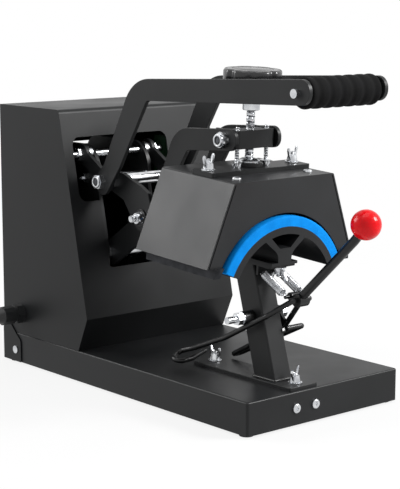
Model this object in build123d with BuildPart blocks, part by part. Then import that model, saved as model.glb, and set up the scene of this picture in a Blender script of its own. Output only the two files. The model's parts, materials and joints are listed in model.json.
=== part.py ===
from build123d import *
import os
from math import atan2, cos, degrees, hypot, radians, sin

# Cap heat press: a clam-shell press that bonds transfers to the front of a cap.
# Millimetres. +X is to the right of someone facing the press, -Y is the front, +Z is up.
# The origin is the middle of the base's footprint, at the underside of its rubber feet.

os.makedirs("parts", exist_ok=True)

# ---------------------------------------------------------------- driving dimensions
sheet = 1.5                   # folded steel sheet
bar = 5.0                     # flat steel of arms and links
run_gap = 0.05                # radial clearance of a shaft in a bore that turns on it
side_gap = 0.2                # clearance between faces that slide past each other

# Base tray
base_width = 230.0
base_depth = 461.0
tray_height = 37.0
foot_height = 2.5
foot_radius = 8.0
foot_inset = 10.0             # foot centre from the tray's side
foot_end_inset = 12.5         # foot centre from the tray's front or rear
flange_width = 18.0           # return flange under the tray
tray_corner = 3.0
tray_edge = 2.0

# Rear cabinet
cabinet_height = 286.4        # above the tray
roof_front_y = 105.2
knee_y = 53.05
knee_height = 41.1            # knee of the sloping face above the tray
toe_y = 71.6
cabinet_bend = 6.0
ear_reach = 38.0              # how far the rear panel's ears wrap forward

# Mechanism centre plane and pivots (Y, Z)
mech_x = -30.0
upper_pivot = (106.0, 271.0)  # the handle turns here
link_pivot = (58.5, 243.0)    # handle to toggle link
toggle_pivot = (5.0, 204.0)   # toggle link to head arm
lower_pivot = (84.0, 152.0)   # the head arm turns here
upper_axle_radius = 4.0
lower_axle_radius = 5.0
pin_radius = 4.0
link_shaft_radius = 5.0
upper_axle_reach = 70.0       # half length
toggle_float = 5.8            # how far the toggle pin floats in the link's open pivot

# Distances from the centre plane to the inner face of each flat bar
rocker_inset = 24.0
head_arm_inset = 29.0
link_inset = 35.5
crank_inset = 47.5
handle_arm_inset = 52.5

# T-shaped opening in the cabinet's face (half widths about the centre plane, and heights Z)
slot_upper_half = 71.5
slot_lower_half = 42.0
slot_bottom_z = 137.0
slot_step_z = 217.0
slot_top_z = 293.2

# Heating head and form: one frame, tipped down at the front
head_tilt = 3.3
head_origin = (mech_x, -135.0, 252.5)
form_centre = -116.6          # centre of the form's arch below the head's origin
form_front = -64.9
form_length = 100.0
form_radius = 81.6
form_wall = 8.3
pad_thickness = 11.7
form_end_angle = 25.4         # above the horizontal through the arch's centre
platen_centre = -119.1
platen_radius = 98.3
platen_wall = 9.0
head_top = 17.3
head_bottom = -71.4
head_half_top = 73.0
head_half_bottom = 106.8
head_front = -59.8
head_rear = 60.8
lip_half = 100.0
lip_bottom = -81.7
corner_groove = 1.2

# Screw and knob
screw_radius = 4.6            # halfway up the thread, which is left out
nut_bore_radius = 5.3         # at the outside of the thread
nut_half = 11.0
screw_foot = 24.0
knob_bottom = 113.0
knob_height = 16.0
knob_radius = 32.5
collar_radius = 9.5
collar_bottom = 84.0
guide_radius = 2.5
guide_offset = 21.5
guide_y = -3.9

# Pedestal
pedestal_half = 20.6
pedestal_front = -227.5
pedestal_rear = -66.0
pedestal_thickness = 4.0
tube_half = 13.0
tube_front = -195.1
tube_depth = 33.9
tube_lean = 0.285
tube_wall = 2.0
head_plate_half = 19.0
head_plate_front = -62.0
head_plate_rear = 30.0
head_plate_thickness = 3.0
form_flange_height = 42.2     # top of the form's foot above the arch's centre
form_flange = 3.1

# Hold-down bail
bail_pivot = (-157.0, 110.0)
bail_axle_radius = 4.0
bail_half = 27.0              # wire centre lines from the centre plane
wire_radius = 3.0
ball_radius = 16.0
lever_radius = 5.0
ball_centre = (-314.9, 229.6)
fork_centre = (-221.0, 139.0)

# ---------------------------------------------------------------- derived values
half_width = base_width / 2
front_y = -base_depth / 2
rear_y = base_depth / 2
tray_top = foot_height + tray_height
cabinet_top = tray_top + cabinet_height
knee_z = tray_top + knee_height
face_slope = atan2(roof_front_y - knee_y, cabinet_top - knee_z)
tilt = radians(head_tilt)
pad_radius = form_radius + pad_thickness
platen_outer = platen_radius + platen_wall
form_foot_z = form_centre + form_flange_height
head_plate_top = form_foot_z - form_flange
head_plate_bottom = head_plate_top - head_plate_thickness
pedestal_top = tray_top + pedestal_thickness

# ---------------------------------------------------------------- planes
def side_plane(x):
    """A plane across the machine at x: sketch X is the machine's Y, sketch Y is its Z."""
    return Plane(origin=(x, 0, 0), x_dir=(0, 1, 0), z_dir=(1, 0, 0))


HEAD = Plane(origin=head_origin, x_dir=(1, 0, 0), z_dir=(0, -sin(tilt), cos(tilt)))
HEAD_TURNED = Plane(origin=head_origin, x_dir=(1, 0, 0), z_dir=(0, -cos(tilt), -sin(tilt)))
FACE = Plane(
    origin=(mech_x, knee_y, knee_z),
    x_dir=(1, 0, 0),
    z_dir=(0, -cos(face_slope), sin(face_slope)),
)


def head_front_plane(y):
    """The head's cross-section at its local y: sketch Y is up, extrusion runs to the front."""
    return HEAD_TURNED.offset(-y)


def head_level(z):
    """A plane across the head at its local height z."""
    return HEAD.offset(z)


def bar_start(inset, side):
    """X of the face nearest -X of a flat bar on one side of the centre plane."""
    return mech_x + inset if side > 0 else mech_x - inset - bar


def finish(piece, label):
    """Label a finished sub-part and write its STEP file."""
    piece.part.label = label
    export_step(piece.part, f"parts/{label}.step")


SIDES = (("left", -1), ("right", 1))


# ---------------------------------------------------------------- base tray
front_screw_places = [(mech_x - 14.35, 21.3), (mech_x + 14.35, 21.3)]
front_screw_radius = 3.0
tray_wrap_screw = (rear_y - 25.5, 17.5)
wrap_screw_radius = 2.5
form_bolt_places = (-213.5, -80.0)
form_bolt_radius = 3.0
gland_place = (rear_y - 36.5, 66.0)
gland_thread_radius = 8.0

with BuildPart() as base_tray:
    with BuildSketch(Plane.XY.offset(foot_height)):
        RectangleRounded(base_width, base_depth, tray_corner)
    extrude(amount=tray_height)
    fillet(base_tray.faces().sort_by(Axis.Z)[-1].edges(), radius=tray_edge)
    offset(amount=-sheet, openings=base_tray.faces().sort_by(Axis.Z)[0])
    with BuildSketch(Plane.XY.offset(foot_height)):
        RectangleRounded(base_width - sheet, base_depth - sheet, tray_corner - sheet / 2)
        Rectangle(base_width - 2 * flange_width, base_depth - 2 * flange_width, mode=Mode.SUBTRACT)
    extrude(amount=sheet)
    with BuildSketch(Plane.XZ.offset(-front_y - 2 * sheet)):
        with Locations(*front_screw_places):
            Circle(front_screw_radius)
    extrude(amount=4 * sheet, mode=Mode.SUBTRACT)
    with BuildSketch(side_plane(-half_width - sheet)):
        with Locations(tray_wrap_screw):
            Circle(wrap_screw_radius)
    extrude(amount=base_width + 2 * sheet, mode=Mode.SUBTRACT)
    with BuildSketch(Plane.XY.offset(tray_top - 2 * sheet)):
        with Locations(*[(mech_x, y) for y in form_bolt_places]):
            Circle(form_bolt_radius)
    extrude(amount=4 * sheet, mode=Mode.SUBTRACT)
finish(base_tray, "base_tray")

with BuildPart() as rubber_feet:
    with BuildSketch(Plane.XY):
        with GridLocations(base_width - 2 * foot_inset, base_depth - 2 * foot_end_inset, 2, 2):
            Circle(foot_radius)
    extrude(amount=foot_height)
    fillet(rubber_feet.edges().group_by(Axis.Z)[0], radius=0.6)
finish(rubber_feet, "rubber_feet")

# A folded channel under the tray's top carries the pedestal's load.
stiffener_half = 30.0
stiffener_wall = 2.0
stiffener_depth = 28.0
stiffener_top = tray_top - sheet
with BuildPart() as pedestal_stiffener:
    stiffener_front = front_y + tray_edge + 0.1
    stiffener_length = pedestal_rear + 6.0 - stiffener_front
    with BuildSketch(Plane.XY.offset(stiffener_top - stiffener_depth)):
        with Locations((mech_x, stiffener_front + stiffener_length / 2)):
            Rectangle(2 * stiffener_half, stiffener_length)
    extrude(amount=stiffener_depth)
    with BuildSketch(Plane.XY.offset(stiffener_top - stiffener_depth)):
        with Locations((mech_x, stiffener_front + stiffener_wall + stiffener_length / 2)):
            Rectangle(2 * (stiffener_half - stiffener_wall), stiffener_length)
    extrude(amount=stiffener_depth - stiffener_wall, mode=Mode.SUBTRACT)
    with BuildSketch(Plane.XZ.offset(-stiffener_front + sheet)):
        with Locations(*front_screw_places):
            Circle(front_screw_radius)
    extrude(amount=-4 * stiffener_wall, mode=Mode.SUBTRACT)
    with BuildSketch(Plane.XY.offset(stiffener_top - 2 * stiffener_wall)):
        with Locations(*[(mech_x, y) for y in form_bolt_places]):
            Circle(form_bolt_radius)
    extrude(amount=3 * stiffener_wall, mode=Mode.SUBTRACT)
finish(pedestal_stiffener, "pedestal_stiffener")

# ---------------------------------------------------------------- cabinet
panel_centre = (rear_y - 65.5, 235.0)     # control panel on the right side (Y, Z)
panel_size = (70.0, 104.0)
panel_hole = (56.0, 88.0)
switch_place = (rear_y - 65.5, 120.0)
switch_size = (30.0, 22.0)

with BuildPart() as cabinet_shell:
    with BuildSketch(side_plane(-half_width)):
        with BuildLine():
            Polyline(
                (rear_y, tray_top),
                (rear_y, cabinet_top),
                (roof_front_y, cabinet_top),
                (knee_y, knee_z),
                (toe_y, tray_top),
                close=True,
            )
        make_face()
    extrude(amount=base_width)
    roof_front_edge = cabinet_shell.edges().filter_by(Axis.X).group_by(Axis.Z)[-1].sort_by(Axis.Y)[0]
    fillet(roof_front_edge, radius=cabinet_bend)
    offset(
        amount=-sheet,
        openings=[cabinet_shell.faces().sort_by(Axis.Y)[-1], cabinet_shell.faces().sort_by(Axis.Z)[0]],
    )
    with BuildSketch(FACE.offset(-3 * sheet)):
        upper_low = (slot_step_z - knee_z) / cos(face_slope)
        upper_high = (slot_top_z - knee_z) / cos(face_slope)
        lower_low = (slot_bottom_z - knee_z) / cos(face_slope)
        with Locations((0, (upper_low + upper_high) / 2)):
            RectangleRounded(2 * slot_upper_half, upper_high - upper_low, 11.0)
        with Locations((0, (lower_low + upper_low) / 2 + 6.0)):
            RectangleRounded(2 * slot_lower_half, upper_low - lower_low + 12.0, 6.0)
    extrude(amount=6 * sheet, mode=Mode.SUBTRACT)
    with BuildSketch(side_plane(half_width - 3 * sheet)):
        with Locations(panel_centre):
            RectangleRounded(*panel_hole, 3.0)
        with Locations(switch_place):
            Rectangle(*switch_size)
    extrude(amount=6 * sheet, mode=Mode.SUBTRACT)
    with BuildSketch(side_plane(-half_width - sheet)):
        with Locations(gland_place):
            Circle(gland_thread_radius)
    extrude(amount=4 * sheet, mode=Mode.SUBTRACT)
finish(cabinet_shell, "cabinet_shell")

# The rear panel closes the cabinet and the tray, and two ears wrap round the tray's sides.
ear_top = 62.0
rear_vent_rows = 6
rear_vent_pitch = 9.0
rear_vent_drop = 33.0         # middle of the vents below the roof
with BuildPart() as rear_panel:
    with BuildSketch(Plane.XZ.offset(-rear_y)):
        with Locations((0, (cabinet_top + foot_height) / 2)):
            Rectangle(base_width, cabinet_top - foot_height)
    extrude(amount=-sheet)
    with BuildSketch(side_plane(-half_width - sheet)):
        with BuildLine():
            FilletPolyline(
                (rear_y + sheet, foot_height),
                (rear_y + sheet, ear_top + 2.0),
                (rear_y - 27.0, tray_top - 1.5),
                (rear_y + sheet - ear_reach, tray_top - 9.0),
                (rear_y + sheet - ear_reach, foot_height),
                radius=[0.5, 2.0, 12.0, 8.0, 1.0],
                close=True,
            )
        make_face()
    extrude(amount=base_width + 2 * sheet)
    with BuildSketch(side_plane(-half_width)):
        with Locations((0, rear_y)):
            Rectangle(2 * rear_y, 2 * rear_y)
    extrude(amount=base_width, mode=Mode.SUBTRACT)
    with BuildSketch(Plane.XZ.offset(-rear_y)):
        with Locations((0, (cabinet_top + foot_height) / 2)):
            Rectangle(base_width, cabinet_top - foot_height)
    extrude(amount=-sheet)
    with BuildSketch(side_plane(-half_width - 2 * sheet)):
        with Locations(tray_wrap_screw):
            Circle(wrap_screw_radius)
    extrude(amount=base_width + 4 * sheet, mode=Mode.SUBTRACT)
    with BuildSketch(Plane.XZ.offset(-rear_y - 2 * sheet)):
        with Locations((0, cabinet_top - rear_vent_drop)):
            with GridLocations(0, rear_vent_pitch, 1, rear_vent_rows):
                SlotOverall(70.0, 4.0)
    extrude(amount=4 * sheet, mode=Mode.SUBTRACT)
finish(rear_panel, "rear_panel")

# The tray's screws: two in its front, and one through each ear.
pan_head = 2.6
with BuildPart() as tray_screws:
    with BuildSketch(Plane.XZ.offset(-front_y)):
        with Locations(*front_screw_places):
            Circle(front_screw_radius + 2.3)
    extrude(amount=pan_head)
    fillet(tray_screws.faces().sort_by(Axis.Y)[0:2].edges(), radius=1.4)
    with BuildSketch(Plane.XZ.offset(-front_y)):
        with Locations(*front_screw_places):
            Circle(front_screw_radius)
    extrude(amount=-12.0)
    with BuildSketch(Plane.XZ.offset(-front_y + pan_head)):
        with Locations(*front_screw_places):
            Rectangle(4.2, 0.9)
            Rectangle(0.9, 4.2)
    extrude(amount=-1.2, mode=Mode.SUBTRACT)
    for side in (-1, 1):
        with BuildSketch(side_plane(side * (half_width + sheet))):
            with Locations(tray_wrap_screw):
                Circle(wrap_screw_radius + 2.4)
        extrude(amount=side * 1.2)
        with BuildSketch(side_plane(side * (half_width + sheet))):
            with Locations(tray_wrap_screw):
                Circle(wrap_screw_radius)
        extrude(amount=-side * 10.0)
finish(tray_screws, "tray_screws")

# ---------------------------------------------------------------- cable gland
gland_bore = 3.6
with BuildPart() as cable_gland:
    with BuildSketch(side_plane(-half_width)):
        with Locations(gland_place):
            Circle(12.0)
    extrude(amount=-1.6)
    with BuildSketch(side_plane(-half_width - 1.6)):
        with Locations(gland_place):
            RegularPolygon(12.6, 6)
    extrude(amount=-8.0)
    with BuildSketch(side_plane(-half_width - 9.6)):
        with Locations(gland_place):
            Circle(9.6)
    extrude(amount=-4.0)
    with BuildSketch(side_plane(-half_width - 13.6)):
        with Locations(gland_place):
            RegularPolygon(11.8, 12)
    extrude(amount=-15.0)
    with BuildSketch(side_plane(-half_width - 28.6)):
        with Locations(gland_place):
            Circle(10.6)
    extrude(amount=-9.0, taper=24.0)
    with BuildSketch(side_plane(-half_width)):
        with Locations(gland_place):
            Circle(gland_thread_radius)
    extrude(amount=12.0)
    with BuildSketch(side_plane(-half_width + 13.0)):
        with Locations(gland_place):
            Circle(gland_bore)
    extrude(amount=-60.0, mode=Mode.SUBTRACT)
finish(cable_gland, "cable_gland")

with BuildPart() as gland_locknut:
    with BuildSketch(side_plane(-half_width + sheet)):
        with Locations(gland_place):
            RegularPolygon(12.6, 6)
            Circle(gland_thread_radius, mode=Mode.SUBTRACT)
    extrude(amount=5.0)
finish(gland_locknut, "gland_locknut")

# ---------------------------------------------------------------- controls on the right side
button_radius = 6.0
button_places = [
    (panel_centre[0] - 15.0, panel_centre[1] - 18.0),
    (panel_centre[0] + 15.0, panel_centre[1] - 18.0),
    (panel_centre[0] - 15.0, panel_centre[1] - 37.0),
    (panel_centre[0] + 15.0, panel_centre[1] - 37.0),
]
button_names = ("button_set", "button_up", "button_down", "button_start")
window_place = (panel_centre[0], panel_centre[1] + 20.0)
window_size = (46.0, 26.0)
bezel_thickness = 2.0
board_x = half_width - 18.0

with BuildPart() as panel_bezel:
    with BuildSketch(side_plane(half_width)):
        with Locations(panel_centre):
            RectangleRounded(*panel_size, 4.0)
        with Locations(window_place):
            Rectangle(*window_size, mode=Mode.SUBTRACT)
        with Locations(*button_places):
            Circle(button_radius + 2 * run_gap, mode=Mode.SUBTRACT)
    extrude(amount=bezel_thickness)
    fillet(panel_bezel.faces().sort_by(Axis.X)[-1].outer_wire().edges(), radius=0.8)
finish(panel_bezel, "panel_bezel")

with BuildPart() as display_window:
    with BuildSketch(side_plane(half_width - 1.0)):
        with Locations(window_place):
            Rectangle(*window_size)
    extrude(amount=bezel_thickness + 0.6)
    with BuildSketch(side_plane(half_width - 5.0)):
        with Locations(window_place):
            Rectangle(window_size[0] + 4.0, window_size[1] + 4.0)
    extrude(amount=4.0)
finish(display_window, "display_window")

board_thickness = 1.6
with BuildPart() as controller_board:
    with BuildSketch(side_plane(board_x)):
        with Locations(panel_centre):
            Rectangle(panel_hole[0] - 4.0, panel_hole[1] - 2.0)
    extrude(amount=board_thickness)
    with BuildSketch(side_plane(board_x + board_thickness)):
        with Locations(window_place):
            Rectangle(window_size[0] - 6.0, window_size[1] - 6.0)
    extrude(amount=half_width - 5.0 - board_x - board_thickness)
    with BuildSketch(side_plane(board_x)):
        with Locations(panel_centre):
            with GridLocations(panel_hole[0] - 10.0, panel_hole[1] - 7.0, 2, 2):
                Circle(2.5)
    extrude(amount=half_width - board_x)
finish(controller_board, "controller_board")

for button_name, button_place in zip(button_names, button_places):
    with BuildPart() as button:
        with BuildSketch(side_plane(board_x + board_thickness + 2.5)):
            with Locations(button_place):
                Circle(button_radius)
        extrude(amount=half_width + bezel_thickness + 2.2 - board_x - board_thickness - 2.5)
        fillet(button.faces().sort_by(Axis.X)[-1].edges(), radius=0.8)
    finish(button, button_name)

switch_wall = 2.0
rocker_depth = 3.0          # rocker's pin behind the cabinet's side
rocker_pin_radius = 1.5
rocker_tilt = 8.0
with BuildPart() as switch_frame:
    with BuildSketch(side_plane(half_width)):
        with Locations(switch_place):
            RectangleRounded(switch_size[0] + 5.0, switch_size[1] + 5.0, 2.0)
    extrude(amount=bezel_thickness)
    with BuildSketch(side_plane(half_width - 16.0)):
        with Locations(switch_place):
            Rectangle(*switch_size)
    extrude(amount=16.0)
    with BuildSketch(side_plane(half_width - 14.0)):
        with Locations(switch_place):
            Rectangle(switch_size[0] - 2 * switch_wall, switch_size[1] - 2 * switch_wall)
    extrude(amount=16.0 + bezel_thickness, mode=Mode.SUBTRACT)
    with BuildSketch(Plane.XZ.offset(-switch_place[0] - switch_size[0])):
        with Locations((half_width - rocker_depth, switch_place[1])):
            Circle(rocker_pin_radius + run_gap)
    extrude(amount=2 * switch_size[0], mode=Mode.SUBTRACT)
finish(switch_frame, "switch_frame")

with BuildPart() as power_rocker:
    key_half = switch_size[0] / 2 - switch_wall - side_gap
    with BuildSketch(Plane.XZ.offset(-switch_place[0] - key_half)):
        with Locations(Location((half_width - rocker_depth, switch_place[1]), (0, 0, -rocker_tilt))):
            Polygon((-3.5, -6.0), (5.5, -8.2), (4.0, 0.0), (5.5, 8.2), (-3.5, 6.0), align=None)
    extrude(amount=2 * key_half)
    with BuildSketch(Plane.XZ.offset(-switch_place[0] - key_half - 1.8)):
        with Locations((half_width - rocker_depth, switch_place[1])):
            Circle(rocker_pin_radius)
    extrude(amount=2 * key_half + 3.6)
finish(power_rocker, "power_rocker")

# ---------------------------------------------------------------- inner frame
frame_front_y = 88.0
frame_rear_y = rear_y - 15.5
frame_top_z = 282.0
frame_corner = 32.0
frame_foot_width = 22.0
frame_foot = 4.0
bush_radius = 9.0
nut_flats = 7.5               # circumscribed radius of the axle nuts

frame_window = ((frame_front_y + frame_rear_y) / 2 + 8.5, 160.0)
stay_place = (111.7, 241.3)   # a stay bolt between the frame plates
stay_radius = 3.0
with BuildPart() as frame_plates:
    for side in (-1, 1):
        with BuildSketch(side_plane(bar_start(link_inset, side))):
            with BuildLine():
                FilletPolyline(
                    (frame_front_y, frame_top_z),
                    (frame_rear_y, frame_top_z),
                    (frame_rear_y, tray_top),
                    (toe_y + 6.0, tray_top),
                    (toe_y + 2.0, slot_bottom_z - 20.0),
                    (toe_y + 1.0, slot_bottom_z + 20.0),
                    (frame_front_y, slot_step_z + 12.0),
                    radius=[frame_corner, 20.0, 1.0, 1.0, 20.0, 20.0, 10.0],
                    close=True,
                )
            make_face()
            with Locations(upper_pivot):
                Circle(upper_axle_radius, mode=Mode.SUBTRACT)
            with Locations(lower_pivot):
                Circle(lower_axle_radius, mode=Mode.SUBTRACT)
            with Locations(stay_place):
                Circle(stay_radius, mode=Mode.SUBTRACT)
            with Locations(frame_window):
                RectangleRounded(60.0, 120.0, 15.0, mode=Mode.SUBTRACT)
        extrude(amount=bar)
        foot_start = mech_x + link_inset + bar if side > 0 else mech_x - link_inset - bar - frame_foot_width
        with BuildSketch(side_plane(foot_start)):
            with Locations(((toe_y + frame_rear_y) / 2 + 5.0, tray_top + frame_foot / 2)):
                Rectangle(frame_rear_y - toe_y - 20.0, frame_foot)
        extrude(amount=frame_foot_width)
finish(frame_plates, "frame_plates")

lower_axle_reach = link_inset + bar + 8.0
stay_reach = link_inset + bar + 11.0
with BuildPart() as fixed_axles:
    for place, radius, reach in (
        (upper_pivot, upper_axle_radius, upper_axle_reach),
        (lower_pivot, lower_axle_radius, lower_axle_reach),
        (stay_place, stay_radius, stay_reach),
    ):
        with BuildSketch(side_plane(mech_x - reach)):
            with Locations(place):
                Circle(radius)
        extrude(amount=2 * reach)
    chamfer(fixed_axles.edges().filter_by(GeomType.CIRCLE), length=0.8)
finish(fixed_axles, "fixed_axles")


def bush(place, bore, outside, start, length):
    """A plain bush on a pivot, its bore and outside given as radii."""
    with BuildPart() as ring:
        with BuildSketch(side_plane(start)):
            with Locations(place):
                Circle(outside)
                Circle(bore, mode=Mode.SUBTRACT)
        extrude(amount=length)
    return ring.part


def hex_nut(place, bore, outside, start, length):
    """A hexagon nut on a pivot; outside is its corner radius, and a zero bore makes a bolt head."""
    with BuildPart() as hexagon:
        with BuildSketch(side_plane(start)):
            with Locations(place):
                RegularPolygon(outside, 6)
                if bore:
                    Circle(bore, mode=Mode.SUBTRACT)
        extrude(amount=length)
    return hexagon.part


# Bushes and nuts keep the crank plates and rocker plates in place along the axles.
axle_nut = 6.5
with BuildPart() as axle_nuts:
    inner_start = mech_x - rocker_inset + side_gap
    add(bush(lower_pivot, lower_axle_radius, bush_radius, inner_start, 2 * (rocker_inset - side_gap)))
    for side in (-1, 1):
        frame_face = mech_x + side * (link_inset + bar)
        crank_bush = side * (crank_inset - link_inset - bar - side_gap)
        add(bush(upper_pivot, upper_axle_radius, bush_radius, frame_face, crank_bush))
        crank_face = mech_x + side * (crank_inset + bar + side_gap)
        add(hex_nut(upper_pivot, upper_axle_radius, nut_flats, crank_face, side * axle_nut))
        rocker_face = mech_x + side * (rocker_inset + bar + side_gap)
        rocker_bush = side * (link_inset - rocker_inset - bar - side_gap)
        add(bush(lower_pivot, lower_axle_radius, bush_radius, rocker_face, rocker_bush))
        add(hex_nut(lower_pivot, lower_axle_radius, nut_flats + 1.5, frame_face, side * axle_nut))
        add(hex_nut(stay_place, stay_radius, nut_flats - 1.0, frame_face, side * axle_nut))
finish(axle_nuts, "axle_nuts")

# ---------------------------------------------------------------- pedestal
with BuildPart() as pedestal_plate:
    with BuildSketch(Plane.XY.offset(tray_top)):
        with Locations((mech_x, (pedestal_front + pedestal_rear) / 2)):
            RectangleRounded(2 * pedestal_half, pedestal_rear - pedestal_front, 2.0)
        with Locations(*[(mech_x, y) for y in form_bolt_places]):
            Circle(form_bolt_radius, mode=Mode.SUBTRACT)
    extrude(amount=pedestal_thickness)
    fillet(pedestal_plate.faces().sort_by(Axis.Z)[-1].outer_wire().edges(), radius=0.6)
finish(pedestal_plate, "pedestal_plate")

wing_reach = 14.0
wing_thickness = 2.8
washer = 1.4


def wing_nut():
    """A wing nut seated at the origin, its wings along X."""
    with BuildPart() as nut:
        with BuildSketch(Plane.XY):
            Circle(form_bolt_radius + 3.2)
        extrude(amount=7.0, taper=8.0)
        with BuildSketch(Plane.XZ.offset(-wing_thickness / 2)):
            for side in (-1, 1):
                with BuildLine():
                    Polyline(
                        (side * 2.0, 1.0),
                        (side * (form_bolt_radius + 2.4), 1.0),
                        (side * wing_reach, 9.5),
                        (side * (wing_reach - 2.0), 15.0),
                        (side * (form_bolt_radius + 2.0), 6.5),
                        (side * 2.0, 6.0),
                        close=True,
                    )
                make_face()
        extrude(amount=wing_thickness)
        with BuildSketch(Plane.XY.offset(-1.0)):
            Circle(form_bolt_radius)
        extrude(amount=12.0, mode=Mode.SUBTRACT)
    return nut.part


tube_top_z = 185.0


def tube_outline(inset, low, high):
    """Side outline of the leaning tube between two heights, inset from its faces."""
    return [
        (tube_front + inset + tube_lean * (low - pedestal_top), low),
        (tube_front + tube_depth - inset + tube_lean * (low - pedestal_top), low),
        (tube_front + tube_depth - inset + tube_lean * (high - pedestal_top), high),
        (tube_front + inset + tube_lean * (high - pedestal_top), high),
    ]


with BuildPart() as pedestal_tube:
    with BuildSketch(side_plane(mech_x - tube_half)):
        Polygon(*tube_outline(0.0, pedestal_top, tube_top_z), align=None)
    extrude(amount=2 * tube_half)
    fillet(pedestal_tube.edges().filter_by(lambda edge: abs((edge % 0.5).Z) > 0.8), radius=2.0)
    with BuildSketch(side_plane(mech_x - tube_half + tube_wall)):
        Polygon(*tube_outline(tube_wall, pedestal_top - 5.0, tube_top_z + 5.0), align=None)
    extrude(amount=2 * (tube_half - tube_wall), mode=Mode.SUBTRACT)
    split(bisect_by=head_level(head_plate_bottom), keep=Keep.BOTTOM)
    with BuildSketch(side_plane(mech_x - 2 * tube_half)):
        with Locations(bail_pivot):
            Circle(bail_axle_radius)
    extrude(amount=4 * tube_half, mode=Mode.SUBTRACT)
finish(pedestal_tube, "pedestal_tube")

form_wing_places = (-56.5, 22.0)
spring_anchor_y = -40.0      # a tab under the plate that the bail's springs hook on
spring_tab = 3.0
spring_tab_half = 17.0
spring_tab_drop = 11.0
with BuildPart() as form_head_plate:
    with BuildSketch(head_level(head_plate_bottom)):
        with Locations((0, (head_plate_front + head_plate_rear) / 2)):
            RectangleRounded(2 * head_plate_half, head_plate_rear - head_plate_front, 1.5)
        with Locations(*[(0, y) for y in form_wing_places]):
            Circle(form_bolt_radius, mode=Mode.SUBTRACT)
    extrude(amount=head_plate_thickness)
    with BuildSketch(head_level(head_plate_bottom)):
        with Locations((0, spring_anchor_y)):
            Rectangle(2 * spring_tab_half, spring_tab)
    extrude(amount=-spring_tab_drop)
finish(form_head_plate, "form_head_plate")

# ---------------------------------------------------------------- lower form and pad
def arch(inner, outer, end_angle, centre_z):
    """Cross-section of an arch with radial ends, about a centre on the sketch's Y axis."""
    low = radians(end_angle)
    with BuildSketch() as section:
        with BuildLine():
            for radius in (inner, outer):
                ThreePointArc(
                    (radius * cos(low), centre_z + radius * sin(low)),
                    (0, centre_z + radius),
                    (-radius * cos(low), centre_z + radius * sin(low)),
                )
            for side in (-1, 1):
                Line(
                    (side * inner * cos(low), centre_z + inner * sin(low)),
                    (side * outer * cos(low), centre_z + outer * sin(low)),
                )
        make_face()
    return section.sketch


stem_half = 9.7
void_top_half = 21.0
void_bottom_half = 8.0
void_bottom = 58.0
stem_root = 68.5              # height where the stem's arms meet the arch
form_inner = form_radius - form_wall
with BuildPart() as lower_form:
    with BuildSketch(head_front_plane(form_front + form_length)):
        add(arch(form_inner, form_radius, form_end_angle, form_centre))
        with BuildLine():
            FilletPolyline(
                (-31.0, form_centre + stem_root),
                (-stem_half, form_centre + 52.0),
                (-stem_half, form_foot_z - 0.5),
                (stem_half, form_foot_z - 0.5),
                (stem_half, form_centre + 52.0),
                (31.0, form_centre + stem_root),
                (20.0, form_centre + form_inner + 2.0),
                (-20.0, form_centre + form_inner + 2.0),
                radius=[0.5, 14.0, 0.2, 0.2, 14.0, 0.5, 0.5, 0.5],
                close=True,
            )
        make_face()
        with BuildLine():
            void_arc = (
                sin(radians(16.4)) * form_inner,
                form_centre + cos(radians(16.4)) * form_inner,
            )
            ThreePointArc((-void_arc[0], void_arc[1]), (0, form_centre + form_inner), void_arc)
            Polyline(
                void_arc,
                (void_bottom_half, form_centre + void_bottom),
                (-void_bottom_half, form_centre + void_bottom),
                (-void_arc[0], void_arc[1]),
            )
        make_face(mode=Mode.SUBTRACT)
        with Locations((0, form_foot_z - form_flange / 2)):
            Rectangle(2 * head_plate_half, form_flange)
    extrude(amount=form_length)
    with BuildSketch(head_level(head_plate_top - 1.0)):
        with Locations(*[(0, y) for y in form_wing_places]):
            Circle(form_bolt_radius)
    extrude(amount=12.0, mode=Mode.SUBTRACT)
finish(lower_form, "lower_form")

with BuildPart() as silicone_pad:
    with BuildSketch(head_front_plane(form_front + form_length)):
        add(arch(form_radius, pad_radius, form_end_angle, form_centre))
    extrude(amount=form_length)
    fillet(silicone_pad.edges().filter_by(GeomType.CIRCLE).group_by(SortBy.RADIUS)[-1], radius=1.0)
finish(silicone_pad, "silicone_pad")

bolt_head = 5.0
with BuildPart() as wing_bolts:
    for bolt_y, turn in zip(form_bolt_places, (30.0, 40.0)):
        bolt_foot = stiffener_top - stiffener_wall - bolt_head
        with BuildSketch(Plane.XY.offset(bolt_foot)):
            with Locations((mech_x, bolt_y)):
                Circle(form_bolt_radius)
        extrude(amount=pedestal_top + 11.0 - bolt_foot)
        with BuildSketch(Plane.XY.offset(bolt_foot)):
            with Locations((mech_x, bolt_y)):
                RegularPolygon(6.0, 6)
        extrude(amount=bolt_head)
        with BuildSketch(Plane.XY.offset(pedestal_top)):
            with Locations((mech_x, bolt_y)):
                Circle(8.0)
        extrude(amount=washer)
        with Locations(Location((mech_x, bolt_y, pedestal_top + washer), (0, 0, turn))):
            add(wing_nut())
    for bolt_y in form_wing_places:
        with BuildSketch(head_level(head_plate_bottom - 10.0)):
            with Locations((0, bolt_y)):
                Circle(form_bolt_radius)
        extrude(amount=20.0)
        with BuildSketch(head_level(head_plate_bottom)):
            with Locations((0, bolt_y)):
                Circle(6.5)
        extrude(amount=-washer)
        with Locations(head_level(head_plate_bottom - washer).location * Location((0, bolt_y, 0), (180, 0, 90))):
            add(wing_nut())
finish(wing_bolts, "wing_bolts")

# ---------------------------------------------------------------- heating head
head_shell = 2.0
wing_stud_offset = 62.0
wing_stud_y = -4.0
wing_stud_radius = 3.0
cover_screw_offset = 52.5
cover_screw_y = -39.5
cover_screw_radius = 2.5
pressure_bar_front = -23.0
pressure_bar_rear = 12.0
pressure_bar_half = 72.0
pressure_bar_thickness = 5.0
pressure_bar_top = head_top + pressure_bar_thickness
platen_front = head_front + head_shell + side_gap
platen_rear = 50.5
lip_front = -63.5
lip_rear = 50.5
lip_top = head_bottom


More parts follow.
